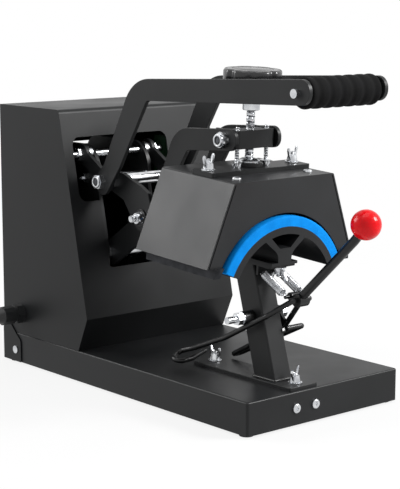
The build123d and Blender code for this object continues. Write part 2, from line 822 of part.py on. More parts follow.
def cover_outline(inset, groove=0.0, drop=0.0):
    """Corners of the head's cross-section, inset from its skin, its sides further in by a groove."""
    slope = (head_half_bottom - head_half_top) / (head_top - head_bottom)
    step = (inset + groove) * hypot(1.0, slope)
    top_half = head_half_top - step + slope * inset
    bottom_half = head_half_bottom - step + slope * drop
    return [
        (-bottom_half, head_bottom - drop),
        (-top_half, head_top - inset),
        (top_half, head_top - inset),
        (bottom_half, head_bottom - drop),
    ]


def stud_places():
    """Plan places of the studs that hang the platen from the pressure bar."""
    return [(side * wing_stud_offset, wing_stud_y) for side in (-1, 1)]


def cover_screw_places():
    """Plan places of the screws that hold the cover's inner brackets."""
    return [(side * cover_screw_offset, cover_screw_y) for side in (-1, 1)]


# Top and sides are one folded sheet.
with BuildPart() as head_cover:
    with BuildSketch(head_front_plane(head_rear)):
        Polygon(*cover_outline(0.0), align=None)
        Polygon(*cover_outline(head_shell, drop=1.0), align=None, mode=Mode.SUBTRACT)
    extrude(amount=head_rear - head_front)
    fillet(
        head_cover.edges().filter_by(lambda edge: abs((edge @ 0 - edge @ 1).Y) > 50.0).filter_by(
            lambda edge: HEAD.to_local_coords(edge @ 0.5).Z > head_top - 0.1
        ),
        radius=3.0,
    )
    with BuildSketch(head_level(head_top - 2 * head_shell)):
        with Locations(*stud_places()):
            Circle(wing_stud_radius)
        with Locations(*cover_screw_places()):
            Circle(cover_screw_radius)
    extrude(amount=4 * head_shell, mode=Mode.SUBTRACT)
finish(head_cover, "head_cover")

# End panels sit inside the folded sheet, a groove in from its sides, and are cut out over the form.
with BuildPart() as head_end_panels:
    for panel_start in (head_front, head_rear - head_shell):
        with BuildSketch(head_front_plane(panel_start + head_shell)):
            Polygon(*cover_outline(head_shell, groove=corner_groove), align=None)
            with Locations((0, platen_centre)):
                Circle(platen_radius, mode=Mode.SUBTRACT)
        extrude(amount=head_shell)
finish(head_end_panels, "head_end_panels")

with BuildPart() as heater_platen:
    with BuildSketch(head_front_plane(platen_rear)):
        add(arch(platen_radius, platen_outer, 24.0, platen_centre))
    extrude(amount=platen_rear - platen_front)
    with BuildSketch(head_front_plane(lip_rear)):
        with Locations((0, (lip_top + lip_bottom) / 2)):
            Rectangle(2 * lip_half, lip_top - lip_bottom)
        with Locations((0, platen_centre)):
            Circle(platen_radius, mode=Mode.SUBTRACT)
    extrude(amount=lip_rear - lip_front)
finish(heater_platen, "heater_platen")

heater_thickness = 2.0
blanket_thickness = 7.0
with BuildPart() as heater_mat:
    with BuildSketch(head_front_plane(platen_rear - 6.0)):
        add(arch(platen_outer, platen_outer + heater_thickness, 34.0, platen_centre))
    extrude(amount=platen_rear - platen_front - 12.0)
finish(heater_mat, "heater_mat")

with BuildPart() as insulation_blanket:
    with BuildSketch(head_front_plane(platen_rear - 4.0)):
        add(arch(platen_outer + heater_thickness, platen_outer + heater_thickness + blanket_thickness,
                 44.0, platen_centre))
    extrude(amount=platen_rear - platen_front - 8.0)
    with BuildSketch(head_level(head_bottom)):
        with Locations(*stud_places()):
            Circle(wing_stud_radius)
    extrude(amount=head_top - head_bottom, mode=Mode.SUBTRACT)
finish(insulation_blanket, "insulation_blanket")

with BuildPart() as pressure_bar:
    with BuildSketch(head_level(head_top)):
        with Locations((0, (pressure_bar_front + pressure_bar_rear) / 2)):
            RectangleRounded(2 * pressure_bar_half, pressure_bar_rear - pressure_bar_front, 2.0)
        with Locations(*stud_places()):
            Circle(wing_stud_radius, mode=Mode.SUBTRACT)
        with Locations(*[(side * guide_offset, guide_y) for side in (-1, 1)]):
            Circle(guide_radius, mode=Mode.SUBTRACT)
    extrude(amount=pressure_bar_thickness)
finish(pressure_bar, "pressure_bar")

stud_foot = platen_centre + (platen_outer ** 2 - wing_stud_offset ** 2) ** 0.5 - 1.0
with BuildPart() as platen_studs:
    for stud_place in stud_places():
        with BuildSketch(head_level(stud_foot)):
            with Locations(stud_place):
                Circle(wing_stud_radius)
        extrude(amount=pressure_bar_top + 12.0 - stud_foot)
        with BuildSketch(head_level(pressure_bar_top)):
            with Locations(stud_place):
                Circle(7.0)
        extrude(amount=washer)
        with Locations(head_level(pressure_bar_top + washer).location * Location((*stud_place, 0), (0, 0, 25.0))):
            add(wing_nut())
    with BuildSketch(head_front_plane(platen_rear)):
        with Locations((0, platen_centre)):
            Circle(platen_outer + heater_thickness)
    extrude(amount=platen_rear - platen_front, mode=Mode.SUBTRACT)
finish(platen_studs, "platen_studs")

with BuildPart() as cover_screws:
    with BuildSketch(head_level(head_top)):
        with Locations(*cover_screw_places()):
            Circle(cover_screw_radius + 2.6)
    extrude(amount=2.6)
    fillet(cover_screws.faces().sort_by(Axis.Z)[-2:].edges(), radius=1.2)
    with BuildSketch(head_level(head_top)):
        with Locations(*cover_screw_places()):
            Circle(cover_screw_radius)
    extrude(amount=-10.0)
finish(cover_screws, "cover_screws")

guide_top = 66.5
with BuildPart() as guide_bolts:
    for side in (-1, 1):
        with BuildSketch(head_level(head_top)):
            with Locations((side * guide_offset, guide_y)):
                Circle(guide_radius)
        extrude(amount=guide_top - head_top)
        with BuildSketch(head_level(pressure_bar_top)):
            with Locations((side * guide_offset, guide_y)):
                RegularPolygon(5.6, 6)
        extrude(amount=4.6)
finish(guide_bolts, "guide_bolts")

disc_radius = 15.6
disc_thickness = 4.4
thrust_radius = 12.0
with BuildPart() as thrust_disc:
    with BuildSketch(head_level(pressure_bar_top)):
        Circle(disc_radius)
        with Locations(*[(side * guide_offset, guide_y) for side in (-1, 1)]):
            Circle(6.2, mode=Mode.SUBTRACT)
    extrude(amount=disc_thickness)
    with BuildSketch(head_level(pressure_bar_top + disc_thickness)):
        Circle(thrust_radius)
    extrude(amount=4.0)
    with BuildSketch(head_level(screw_foot - side_gap)):
        Circle(screw_radius + run_gap)
    extrude(amount=20.0, mode=Mode.SUBTRACT)
finish(thrust_disc, "thrust_disc")

with BuildPart() as pressure_screw:
    with BuildSketch(head_level(screw_foot)):
        Circle(screw_radius)
    extrude(amount=knob_bottom - screw_foot)
    with BuildSketch(head_level(collar_bottom)):
        Circle(collar_radius)
    extrude(amount=knob_bottom - collar_bottom)
    chamfer(pressure_screw.faces().filter_by(HEAD).sort_by(Axis.Z)[0].edges(), length=0.8)
finish(pressure_screw, "pressure_screw")

lobes = 8
scallop_radius = 9.0
with BuildPart() as pressure_knob:
    with BuildSketch(head_level(knob_bottom)):
        Circle(knob_radius)
        with PolarLocations(knob_radius + scallop_radius - 3.4, lobes):
            Circle(scallop_radius, mode=Mode.SUBTRACT)
    extrude(amount=knob_height)
    fillet(pressure_knob.faces().filter_by(HEAD).edges(), radius=2.4)
finish(pressure_knob, "pressure_knob")

# ---------------------------------------------------------------- head arms
cross_bottom = 43.0
cross_top = 63.0
cross_front = -10.5
cross_rear = 24.0
cross_wall = 3.0
trunnion_rear = 15.0
trunnion_bolt_place = (5.5, 52.0)     # along the head's depth, and above its origin
trunnion_bolt_radius = 4.0
trunnion_bolt_tip = 12.0
arm_bolt_place = (
    head_origin[1] + trunnion_bolt_place[0] * cos(tilt) - trunnion_bolt_place[1] * sin(tilt),
    head_origin[2] + trunnion_bolt_place[0] * sin(tilt) + trunnion_bolt_place[1] * cos(tilt),
)

for name, side in SIDES:
    with BuildPart() as head_arm:
        with BuildSketch(side_plane(bar_start(head_arm_inset, side))):
            with BuildLine():
                FilletPolyline(
                    (-152.7, 317.9),
                    (-49.9, 312.7),
                    (-14.0, 234.6),
                    (toggle_pivot[0] + 20.5, toggle_pivot[1] - 3.5),
                    (toggle_pivot[0] - 3.5, toggle_pivot[1] - 19.5),
                    (-71.0, 289.0),
                    (-152.7, 293.8),
                    radius=[11.0, 36.0, 30.0, 12.0, 12.0, 8.0, 11.0],
                    close=True,
                )
            make_face()
            with Locations(toggle_pivot):
                Circle(pin_radius, mode=Mode.SUBTRACT)
            with Locations(arm_bolt_place):
                Circle(trunnion_bolt_radius, mode=Mode.SUBTRACT)
        extrude(amount=bar)
        fillet(head_arm.edges().filter_by(lambda edge: edge.length > 4 * bar), radius=0.5)
    finish(head_arm, f"head_arm_{name}")

rocker_half = 14.7
rocker_shift = -2.5
with BuildPart() as rocker_plates:
    for side in (-1, 1):
        rocker_angle = atan2(lower_pivot[1] - toggle_pivot[1], lower_pivot[0] - toggle_pivot[0])
        rocker_length = hypot(lower_pivot[1] - toggle_pivot[1], lower_pivot[0] - toggle_pivot[0])
        rocker_plane = Plane(
            origin=(bar_start(rocker_inset, side), *toggle_pivot),
            x_dir=(0, cos(rocker_angle), sin(rocker_angle)),
            z_dir=(1, 0, 0),
        )
        with BuildSketch(rocker_plane):
            with Locations((rocker_length / 2, rocker_shift)):
                RectangleRounded(rocker_length + 2 * rocker_half - 4.0, 2 * rocker_half, rocker_half - 0.1)
            Circle(pin_radius, mode=Mode.SUBTRACT)
            with Locations((rocker_length, 0)):
                Circle(lower_axle_radius + run_gap, mode=Mode.SUBTRACT)
        extrude(amount=bar)
finish(rocker_plates, "rocker_plates")

with BuildPart() as crosspiece:
    with BuildSketch(head_level(cross_bottom)):
        with Locations((0, (cross_front + cross_rear) / 2)):
            Rectangle(2 * head_arm_inset, cross_rear - cross_front)
    extrude(amount=cross_top - cross_bottom)
    front_corners = crosspiece.edges().filter_by(
        lambda edge: HEAD.to_local_coords(edge @ 0.5).Y < cross_front + 0.1
        and abs(HEAD.to_local_coords(edge @ 0).Z - HEAD.to_local_coords(edge @ 1).Z) > 5.0
    )
    fillet(front_corners, radius=6.0)
    with BuildSketch(head_level(cross_bottom - 1.0)):
        with Locations((0, (cross_front + cross_wall + cross_rear + 1.0) / 2)):
            Rectangle(2 * (head_arm_inset - cross_wall), cross_rear + 1.0 - cross_front - cross_wall)
    extrude(amount=cross_top - cross_bottom + 2.0, mode=Mode.SUBTRACT)
    with BuildSketch(side_plane(mech_x - 2 * head_arm_inset)):
        with Locations(arm_bolt_place):
            Circle(trunnion_bolt_radius)
    extrude(amount=4 * head_arm_inset, mode=Mode.SUBTRACT)
finish(crosspiece, "crosspiece")

# The threaded nut of the pressure screw, between two cheeks that take the guide bolts.
with BuildPart() as trunnion_block:
    block_depth = trunnion_rear - cross_front - cross_wall
    block_middle = (cross_front + cross_wall + trunnion_rear) / 2
    with BuildSketch(head_level(cross_bottom + 1.0)):
        with Locations((0, block_middle)):
            Rectangle(2 * nut_half, block_depth)
        Circle(nut_bore_radius, mode=Mode.SUBTRACT)
        cheek = head_arm_inset - cross_wall - nut_half - side_gap
        for side in (-1, 1):
            with Locations((side * (nut_half + side_gap + cheek / 2), block_middle)):
                Rectangle(cheek, block_depth)
        with Locations(*[(side * guide_offset, guide_y) for side in (-1, 1)]):
            Circle(guide_radius + run_gap, mode=Mode.SUBTRACT)
    extrude(amount=cross_top - cross_bottom - 2.0)
    for side in (-1, 1):
        with BuildSketch(side_plane(mech_x + side * trunnion_bolt_tip)):
            with Locations(arm_bolt_place):
                Circle(trunnion_bolt_radius)
        extrude(amount=side * head_arm_inset, mode=Mode.SUBTRACT)
finish(trunnion_block, "trunnion_block")

# The toggle pins, with the large washers that cover the links' open pivots, and the trunnion's bolts.
cover_washer = 10.5
toggle_pin_reach = 56.0       # half length over the toggle pins
lock_nut_radius = 9.2
with BuildPart() as arm_bolts:
    for side in (-1, 1):
        with BuildSketch(side_plane(mech_x + side * (rocker_inset - 7.0))):
            with Locations(toggle_pivot):
                Circle(pin_radius)
        extrude(amount=side * (toggle_pin_reach - rocker_inset + 7.0))
        link_face = mech_x + side * (link_inset + bar + side_gap)
        add(hex_nut(toggle_pivot, 0, nut_flats, mech_x + side * rocker_inset, -side * bolt_head))
        add(bush(toggle_pivot, 0.5 * pin_radius, cover_washer, link_face, side * 1.6))
        add(hex_nut(toggle_pivot, 0, nut_flats, link_face + side * 1.6, side * 6.0))
        with BuildSketch(side_plane(mech_x + side * trunnion_bolt_tip)):
            with Locations(arm_bolt_place):
                Circle(trunnion_bolt_radius)
        extrude(amount=side * (head_arm_inset + bar + 6.0 - trunnion_bolt_tip))
        add(hex_nut(arm_bolt_place, 0, lock_nut_radius, mech_x + side * (head_arm_inset + bar), side * 6.5))
finish(arm_bolts, "arm_bolts")

# ---------------------------------------------------------------- toggle links
link_eye = 13.5
open_eye = 15.5
with BuildPart() as toggle_links:
    for side in (-1, 1):
        with BuildSketch(side_plane(bar_start(link_inset, side))):
            with BuildLine():
                Polyline(
                    (toggle_pivot[0] - 15.0, toggle_pivot[1] - 2.0),
                    (toggle_pivot[0] - 17.0, toggle_pivot[1] + 18.0),
                    (toggle_pivot[0] - 13.0, toggle_pivot[1] + 30.0),
                    (toggle_pivot[0] + 2.0, toggle_pivot[1] + 37.5),
                    (link_pivot[0] - 36.0, link_pivot[1] + 3.9),
                    (link_pivot[0] - 22.0, link_pivot[1] + 9.2),
                    (link_pivot[0] - 7.0, link_pivot[1] + 11.8),
                    (link_pivot[0] + 6.0, link_pivot[1] - 11.8),
                    (link_pivot[0] - 20.0, link_pivot[1] - 21.0),
                    (toggle_pivot[0] + 13.0, toggle_pivot[1] - 8.0),
                    close=True,
                )
            make_face()
            with Locations(link_pivot):
                Circle(link_eye)
            with Locations(toggle_pivot):
                Circle(open_eye)
                Circle(pin_radius + toggle_float, mode=Mode.SUBTRACT)
            with Locations(link_pivot):
                Circle(link_shaft_radius + run_gap, mode=Mode.SUBTRACT)
        extrude(amount=bar)
finish(toggle_links, "toggle_links")

# ---------------------------------------------------------------- handle
grip_place = (-271.2, 363.1)
grip_tube_radius = 10.0
foam_radius = 16.5
foam_end_gap = 2.5
handle_width = 26.0
crank_eye = 12.5
crank_waist = 17.0

for name, side in SIDES:
    with BuildPart() as handle_arm:
        with BuildSketch(side_plane(bar_start(handle_arm_inset, side))):
            with BuildLine():
                FilletPolyline(
                    (-288.9, 378.0),
                    (-1.8, 366.2),
                    (53.5, 264.0),
                    (link_pivot[0] + 20.0, link_pivot[1] - 4.0),
                    (link_pivot[0] - 4.0, link_pivot[1] - 20.0),
                    (24.4, 261.2),
                    (-27.7, 342.5),
                    (-288.9, 351.5),
                    radius=[12.5, 50.0, 20.0, 12.0, 12.0, 40.0, 6.0, 12.5],
                    close=True,
                )
            make_face()
            with Locations(link_pivot):
                Circle(link_shaft_radius, mode=Mode.SUBTRACT)
            with Locations(grip_place):
                Circle(pin_radius, mode=Mode.SUBTRACT)
        extrude(amount=bar)
        fillet(handle_arm.edges().filter_by(lambda edge: edge.length > 4 * bar), radius=0.5)
    finish(handle_arm, f"handle_arm_{name}")

with BuildPart() as crank_plates:
    for side in (-1, 1):
        crank_length = hypot(upper_pivot[0] - link_pivot[0], upper_pivot[1] - link_pivot[1])
        crank_angle = degrees(atan2(upper_pivot[1] - link_pivot[1], upper_pivot[0] - link_pivot[0]))
        crank_middle = (
            (upper_pivot[0] + link_pivot[0]) / 2,
            (upper_pivot[1] + link_pivot[1]) / 2,
        )
        with BuildSketch(side_plane(bar_start(crank_inset, side))):
            with Locations(upper_pivot, link_pivot):
                Circle(crank_eye)
            with Locations(Location((*crank_middle, 0), (0, 0, crank_angle))):
                Rectangle(crank_length, crank_waist)
            with Locations(Location((*link_pivot, 0), (0, 0, 120.0))):
                with Locations((22.0, 0)):
                    Rectangle(44.0, crank_waist)
            with Locations(upper_pivot):
                Circle(upper_axle_radius + run_gap, mode=Mode.SUBTRACT)
            with Locations(link_pivot):
                Circle(link_shaft_radius, mode=Mode.SUBTRACT)
        extrude(amount=bar)
finish(crank_plates, "crank_plates")

with BuildPart() as grip_tube:
    with BuildSketch(side_plane(mech_x - handle_arm_inset)):
        with Locations(grip_place):
            Circle(grip_tube_radius)
            Circle(pin_radius, mode=Mode.SUBTRACT)
    extrude(amount=2 * handle_arm_inset)
finish(grip_tube, "grip_tube")

ring_pitch = 11.0
ring_groove = 1.2
with BuildPart() as foam_grip:
    foam_length = 2 * (handle_arm_inset - foam_end_gap)
    with BuildSketch(side_plane(mech_x - foam_length / 2)):
        with Locations(grip_place):
            Circle(foam_radius)
            Circle(grip_tube_radius, mode=Mode.SUBTRACT)
    extrude(amount=foam_length)
    fillet(foam_grip.edges().group_by(Axis.X)[0].sort_by(SortBy.RADIUS)[-1], radius=2.0)
    fillet(foam_grip.edges().group_by(Axis.X)[-1].sort_by(SortBy.RADIUS)[-1], radius=2.0)
    for index in range(-3, 4):
        with BuildSketch(side_plane(mech_x + index * ring_pitch - 1.0)):
            with Locations(grip_place):
                Circle(foam_radius + 1.0)
                Circle(foam_radius - ring_groove, mode=Mode.SUBTRACT)
        extrude(amount=2.0, mode=Mode.SUBTRACT)
finish(foam_grip, "foam_grip")

grip_bolt_head = 4.8
with BuildPart() as grip_bolts:
    for side in (-1, 1):
        with BuildSketch(side_plane(mech_x + side * (handle_arm_inset - 20.0))):
            with Locations(grip_place):
                Circle(pin_radius)
        extrude(amount=side * (20.0 + bar))
        with BuildSketch(side_plane(mech_x + side * (handle_arm_inset + bar))):
            with Locations(grip_place):
                Circle(grip_bolt_head)
        extrude(amount=side * 5.0)
finish(grip_bolts, "grip_bolts")

with BuildPart() as link_shaft:
    with BuildSketch(side_plane(mech_x - handle_arm_inset - bar)):
        with Locations(link_pivot):
            Circle(link_shaft_radius)
    extrude(amount=2 * (handle_arm_inset + bar))
    for side in (-1, 1):
        with BuildSketch(side_plane(mech_x + side * (handle_arm_inset + bar))):
            with Locations(link_pivot):
                RegularPolygon(9.0, 6)
        extrude(amount=side * 7.0)
finish(link_shaft, "link_shaft")

spacer_radius = 7.5
with BuildPart() as link_spacers:
    with BuildSketch(side_plane(mech_x - link_inset + side_gap)):
        with Locations(link_pivot):
            Circle(spacer_radius)
            Circle(link_shaft_radius, mode=Mode.SUBTRACT)
    extrude(amount=2 * (link_inset - side_gap))
    for side in (-1, 1):
        with BuildSketch(side_plane(mech_x + side * (link_inset + bar + side_gap))):
            with Locations(link_pivot):
                Circle(bush_radius)
                Circle(link_shaft_radius, mode=Mode.SUBTRACT)
        extrude(amount=side * (crank_inset - link_inset - bar - side_gap))
finish(link_spacers, "link_spacers")

# ---------------------------------------------------------------- hold-down bail
hub_radius = 7.6
hub_inner = tube_half + 1.0
hub_outer = 27.5
axle_washer = 7.2
axle_stub = 14.0
with BuildPart() as bail_axle:
    with BuildSketch(side_plane(mech_x - hub_outer - axle_stub - 8.0)):
        with Locations(bail_pivot):
            Circle(bail_axle_radius)
    extrude(amount=2 * (hub_outer + 8.0) + axle_stub + 1.0)
    for side in (-1, 1):
        with BuildSketch(side_plane(mech_x + side * (hub_outer + side_gap))):
            with Locations(bail_pivot):
                Circle(axle_washer)
        extrude(amount=side * washer)
        with BuildSketch(side_plane(mech_x + side * (hub_outer + side_gap + washer))):
            with Locations(bail_pivot):
                RegularPolygon(axle_washer, 6)
        extrude(amount=side * 7.0)
finish(bail_axle, "bail_axle")

with BuildPart() as bail_hubs:
    for side in (-1, 1):
        with BuildSketch(side_plane(mech_x + side * hub_inner)):
            with Locations(bail_pivot):
                Circle(hub_radius)
                Circle(bail_axle_radius + run_gap, mode=Mode.SUBTRACT)
        extrude(amount=side * (hub_outer - hub_inner))
    with BuildSketch(side_plane(mech_x + bail_half - wire_radius - 3.0)):
        with BuildLine():
            Polyline(
                (bail_pivot[0] - 6.0, bail_pivot[1] + 4.0),
                (bail_pivot[0] + 5.0, bail_pivot[1] - 5.0),
                (-166.0, 91.0),
                (-176.0, 102.0),
                close=True,
            )
        make_face()
        with Locations(bail_pivot):
            Circle(bail_axle_radius + run_gap, mode=Mode.SUBTRACT)
    extrude(amount=3.0)
finish(bail_hubs, "bail_hubs")


def wire(points, radii):
    """A bent round wire along a route, as straight runs joined by tangent arcs."""
    with BuildPart() as bent:
        with BuildLine() as route:
            FilletPolyline(*points, radius=radii)
        start = Plane(origin=route.line @ 0, z_dir=route.line % 0)
        with BuildSketch(start):
            Circle(wire_radius)
        sweep(path=route.line)
    return bent.part


lever_foot = (-221.0, 137.0)
spring_pin = (-211.0, 140.0)
spring_pin_radius = 2.0
spring_offset = 12.0
fork_half = 7.0
fork_radius = 7.4
spring_boss = 4.4
spring_pin_end = 2.0
left_x = mech_x - bail_half
right_x = mech_x + bail_half
with BuildPart() as bail_wire_left:
    add(wire(
        [
            (mech_x - fork_half, *lever_foot),
            (mech_x - fork_half - 6.0, *lever_foot),
            (left_x, -196.0, 118.4),
            (left_x, -127.7, 82.6),
            (left_x, -72.0, 60.5),
            (left_x - 4.0, -50.4, 53.5),
            (-91.0, -72.0, 47.5),
            (-60.0, -73.0, 49.0),
            (-38.0, -73.0, 56.0),
        ],
        [3.5, 8.0, 60.0, 30.0, 7.0, 7.0, 14.0],
    ))
finish(bail_wire_left, "bail_wire_left")

with BuildPart() as bail_wire_right:
    add(wire(
        [
            (mech_x + fork_half, *lever_foot),
            (mech_x + fork_half + 6.0, *lever_foot),
            (right_x, -197.0, 132.0),
            (right_x, -171.0, 99.0),
            (right_x, -106.3, 60.5),
            (right_x, -80.0, 46.5),
            (right_x + 13.0, -80.0, 46.5),
            (right_x + 13.0, -184.0, 97.0),
            (mech_x + tube_half + 1.2, -184.0, 97.0),
        ],
        [3.5, 8.0, 5.0, 40.0, 5.5, 5.5, 4.5],
    ))
finish(bail_wire_right, "bail_wire_right")

with BuildPart() as lever_rod:
    with BuildLine() as lever_route:
        FilletPolyline(
            (mech_x, *ball_centre),
            (mech_x, -300.0, 212.0),
            (mech_x, *fork_centre),
            radius=60.0,
        )
    with BuildSketch(Plane(origin=lever_route.line @ 0, z_dir=lever_route.line % 0)):
        Circle(lever_radius)
    sweep(path=lever_route.line)
    with BuildSketch(side_plane(mech_x - fork_half)):
        with Locations(lever_foot):
            Circle(fork_radius)
        with Locations(spring_pin):
            Circle(spring_boss)
    extrude(amount=2 * fork_half)
    with BuildSketch(side_plane(mech_x - spring_offset - spring_pin_end)):
        with Locations(spring_pin):
            Circle(spring_pin_radius)
    extrude(amount=2 * (spring_offset + spring_pin_end))
    with Locations((mech_x, *ball_centre)):
        Sphere(ball_radius, mode=Mode.SUBTRACT)
finish(lever_rod, "lever_rod")

with BuildPart() as ball_knob:
    with Locations((mech_x, *ball_centre)):
        Sphere(ball_radius)
finish(ball_knob, "ball_knob")

spring_radius = 4.3
spring_hook = 4.0
spring_seat = 0.9
with BuildPart() as bail_springs:
    for side in (-1, 1):
        top = head_level(head_plate_bottom - spring_tab_drop + 3.0).from_local_coords(
            (side * spring_offset, spring_anchor_y - spring_tab / 2 - spring_seat, 0)
        )
        pin = Vector(mech_x + side * spring_offset, *spring_pin)
        reach = pin - top
        reach = reach - reach.normalized() * (spring_pin_radius + spring_seat)
        spring_plane = Plane(origin=top, x_dir=(1, 0, 0), z_dir=reach)
        with BuildSketch(spring_plane.offset(spring_hook)):
            Circle(spring_radius)
            Circle(spring_radius - 1.2, mode=Mode.SUBTRACT)
        extrude(amount=reach.length - 2 * spring_hook)
        with BuildSketch(spring_plane):
            with Locations((spring_radius - 0.8, 0)):
                Circle(0.7)
        extrude(amount=reach.length)
finish(bail_springs, "bail_springs")
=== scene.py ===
# %% [markdown]
# # Dressing a cap heat press
# The metal of this press is already modelled to size. In this lesson we load it, give every
# piece the finish that it really has, and make the things that a solid modeller leaves plain:
# screw threads, coil springs, wing nuts, lock nuts, the foam grip and the silicone pad.

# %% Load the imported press
import bpy
import bmesh
import json
from math import asin, cos, degrees, pi, radians, sin
from mathutils import Matrix, Vector

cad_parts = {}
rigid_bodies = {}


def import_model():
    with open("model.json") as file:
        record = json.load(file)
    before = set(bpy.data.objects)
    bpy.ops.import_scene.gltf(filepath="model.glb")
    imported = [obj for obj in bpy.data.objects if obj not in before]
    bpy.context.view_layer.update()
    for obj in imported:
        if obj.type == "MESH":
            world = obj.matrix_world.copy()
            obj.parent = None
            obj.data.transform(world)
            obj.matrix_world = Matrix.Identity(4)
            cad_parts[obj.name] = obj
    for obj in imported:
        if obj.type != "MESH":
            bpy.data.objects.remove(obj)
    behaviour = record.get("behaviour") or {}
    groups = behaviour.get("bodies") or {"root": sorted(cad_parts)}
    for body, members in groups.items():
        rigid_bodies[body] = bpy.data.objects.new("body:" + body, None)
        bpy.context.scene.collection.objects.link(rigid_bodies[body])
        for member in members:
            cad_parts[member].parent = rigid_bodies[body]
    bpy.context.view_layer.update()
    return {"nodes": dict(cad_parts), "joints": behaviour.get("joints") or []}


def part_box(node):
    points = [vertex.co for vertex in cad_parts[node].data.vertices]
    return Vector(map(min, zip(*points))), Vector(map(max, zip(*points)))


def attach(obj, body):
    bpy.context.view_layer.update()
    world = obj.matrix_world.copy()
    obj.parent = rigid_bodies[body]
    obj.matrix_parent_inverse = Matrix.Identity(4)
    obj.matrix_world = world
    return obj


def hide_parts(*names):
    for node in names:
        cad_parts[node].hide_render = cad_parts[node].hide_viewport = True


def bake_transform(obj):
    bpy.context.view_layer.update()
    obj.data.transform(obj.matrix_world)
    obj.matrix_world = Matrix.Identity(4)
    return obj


for leftover in list(bpy.data.objects):
    bpy.data.objects.remove(leftover)
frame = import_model()
node = frame["nodes"]

# %% [markdown]
# ## Where things are
# The press is described in millimetres and Blender works in metres, so every place goes
# through one helper. The heating head leans forward by 3.3 degrees, so it has a helper of its
# own: across, along its depth and up from its origin. Places are read from the frame's joints
# and boxes where it has them, and the others are named once.

# %% Places
MM = 0.001
joints = {joint["name"]: joint for joint in frame["joints"]}


def in_mm(metres):
    """A length of the frame in millimetres, to the nearest micron."""
    return round(metres / MM, 3)


def box_mm(name):
    """The low and high corners of a node's box, in millimetres."""
    return [[in_mm(value) for value in corner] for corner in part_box(name)]


def box_middle(name, axis):
    """The middle of a node's box along one axis, in millimetres."""
    low, high = box_mm(name)
    return (low[axis] + high[axis]) / 2


def box_half(name, axis):
    """Half the size of a node's box along one axis, in millimetres."""
    low, high = box_mm(name)
    return (high[axis] - low[axis]) / 2


X, Y, Z = 0, 1, 2
MIDDLE_X = in_mm(joints["handle_hinge"]["pos_m"][X])    # shared by the head, pedestal and linkage
TILT = radians(round(degrees(asin(-joints["head_slide"]["axis"][Y])), 4))
HEAD_ORIGIN = Vector((MIDDLE_X, -135.0, 252.5)) * MM
HEAD_FRAME = Matrix.Translation(HEAD_ORIGIN) @ Matrix.Rotation(TILT, 4, "X")
COVER_TOP = 17.3        # up the head, its cover's top face
BAR_TOP = 22.3          # up the head, the top face of the bar under the screw
FORM_UNDERSIDE = -80.5  # the underside of the form's plate, in the head's frame too


def place(x, y, z):
    """A point of the press, from millimetres to metres."""
    return Vector((x, y, z)) * MM


def on_head(across, depth, up):
    """A point given in the leaning head's own millimetres."""
    return HEAD_FRAME @ (Vector((across, depth, up)) * MM)


head_up = (HEAD_FRAME.to_3x3() @ Vector((0, 0, 1))).normalized()
print("the head's own up is", [round(v, 4) for v in head_up])

# %% Objects and meshes
def in_scene(name, data):
    """A new object with this data, linked to the scene."""
    thing = bpy.data.objects.new(name, data)
    bpy.context.scene.collection.objects.link(thing)
    return thing


def as_mesh(build, name):
    """Writes a bmesh to a new mesh, and frees it."""
    mesh = bpy.data.meshes.new(name)
    build.to_mesh(mesh)
    build.free()
    return mesh


# %% [markdown]
# ## The camera
# A long lens from the front left, a little above the press, keeps the box shapes nearly
# parallel, as in a catalogue.

# %% Camera
camera = in_scene("camera", bpy.data.cameras.new("camera"))
LOOK_DOWN, HEADING = 9.57, 49.73    # degrees below level, and round from +X
camera.location = place(-1132.25, -1354.5, 463.28)
camera.rotation_euler = (radians(90.0 - LOOK_DOWN), 0.0, radians(HEADING - 90.0))
camera.data.sensor_width = 36.0
camera.data.lens = 110.25
camera.data.clip_start = 0.05
camera.data.clip_end = 50.0
bpy.context.scene.camera = camera
print("lens", camera.data.lens, "mm")

# %% [markdown]
# ## Small helpers for finishes
# Colours are written as sRGB hex, as a paint card or an image editor gives them. Shaders add
# light, so they need linear values, and one function does that step. Pattern sizes are in
# millimetres, and become a noise scale, which counts per metre.

# %% Helpers for finishes
def linear(hex_colour):
    """An sRGB hex colour as the linear RGBA that a shader takes."""
    parts = [int(hex_colour[start:start + 2], 16) / 255.0 for start in (1, 3, 5)]
    return (*[c / 12.92 if c <= 0.04045 else ((c + 0.055) / 1.055) ** 2.4 for c in parts], 1.0)


def per_metre(size_mm):
    """A pattern scale whose features are about this wide."""
    return 1000.0 / size_mm


def add_node(tree, kind, settings=None, inputs=None):
    """Adds one node, with its settings and with values or links for its inputs."""
    new = tree.nodes.new(kind)
    for name, value in (settings or {}).items():
        setattr(new, name, value)
    for socket, value in (inputs or {}).items():
        if isinstance(value, bpy.types.NodeSocket):
            tree.links.new(value, new.inputs[socket])
        else:
            new.inputs[socket].default_value = value
    return new


def start_material(name):
    """A new material with an empty node tree, its output node, and the object's own coordinates."""
    material = bpy.data.materials.new(name)
    material.use_nodes = True
    tree = material.node_tree
    tree.nodes.clear()
    where = add_node(tree, "ShaderNodeTexCoord").outputs["Object"]
    return material, tree, add_node(tree, "ShaderNodeOutputMaterial"), where


print("powder coat black is", [round(c, 4) for c in linear("#1d1e20")])

# %% [markdown]
# ## Powder coat
# Nearly all of the steel is powder coated: dry paint powder is sprayed on and baked until it
# flows. It never flows quite flat, so it keeps an orange peel about a millimetre wide and a
# satin shine. A peel that fine hardly shows, so it is drawn twice as coarse. The cabinet, the
# base with the bars, and the head share one coat. It is drawn as three copies that paint light
# and shade: the head's lighter and shinier, the cabinet's darkest. The cast form is rougher,
# and the dipped wire is smoother.

# %% Powder coat
DRIFT_MM, SPECK_MM, PEEL_MM = 70.0, 2.2, 1.8    # how wide the coat's patterns are


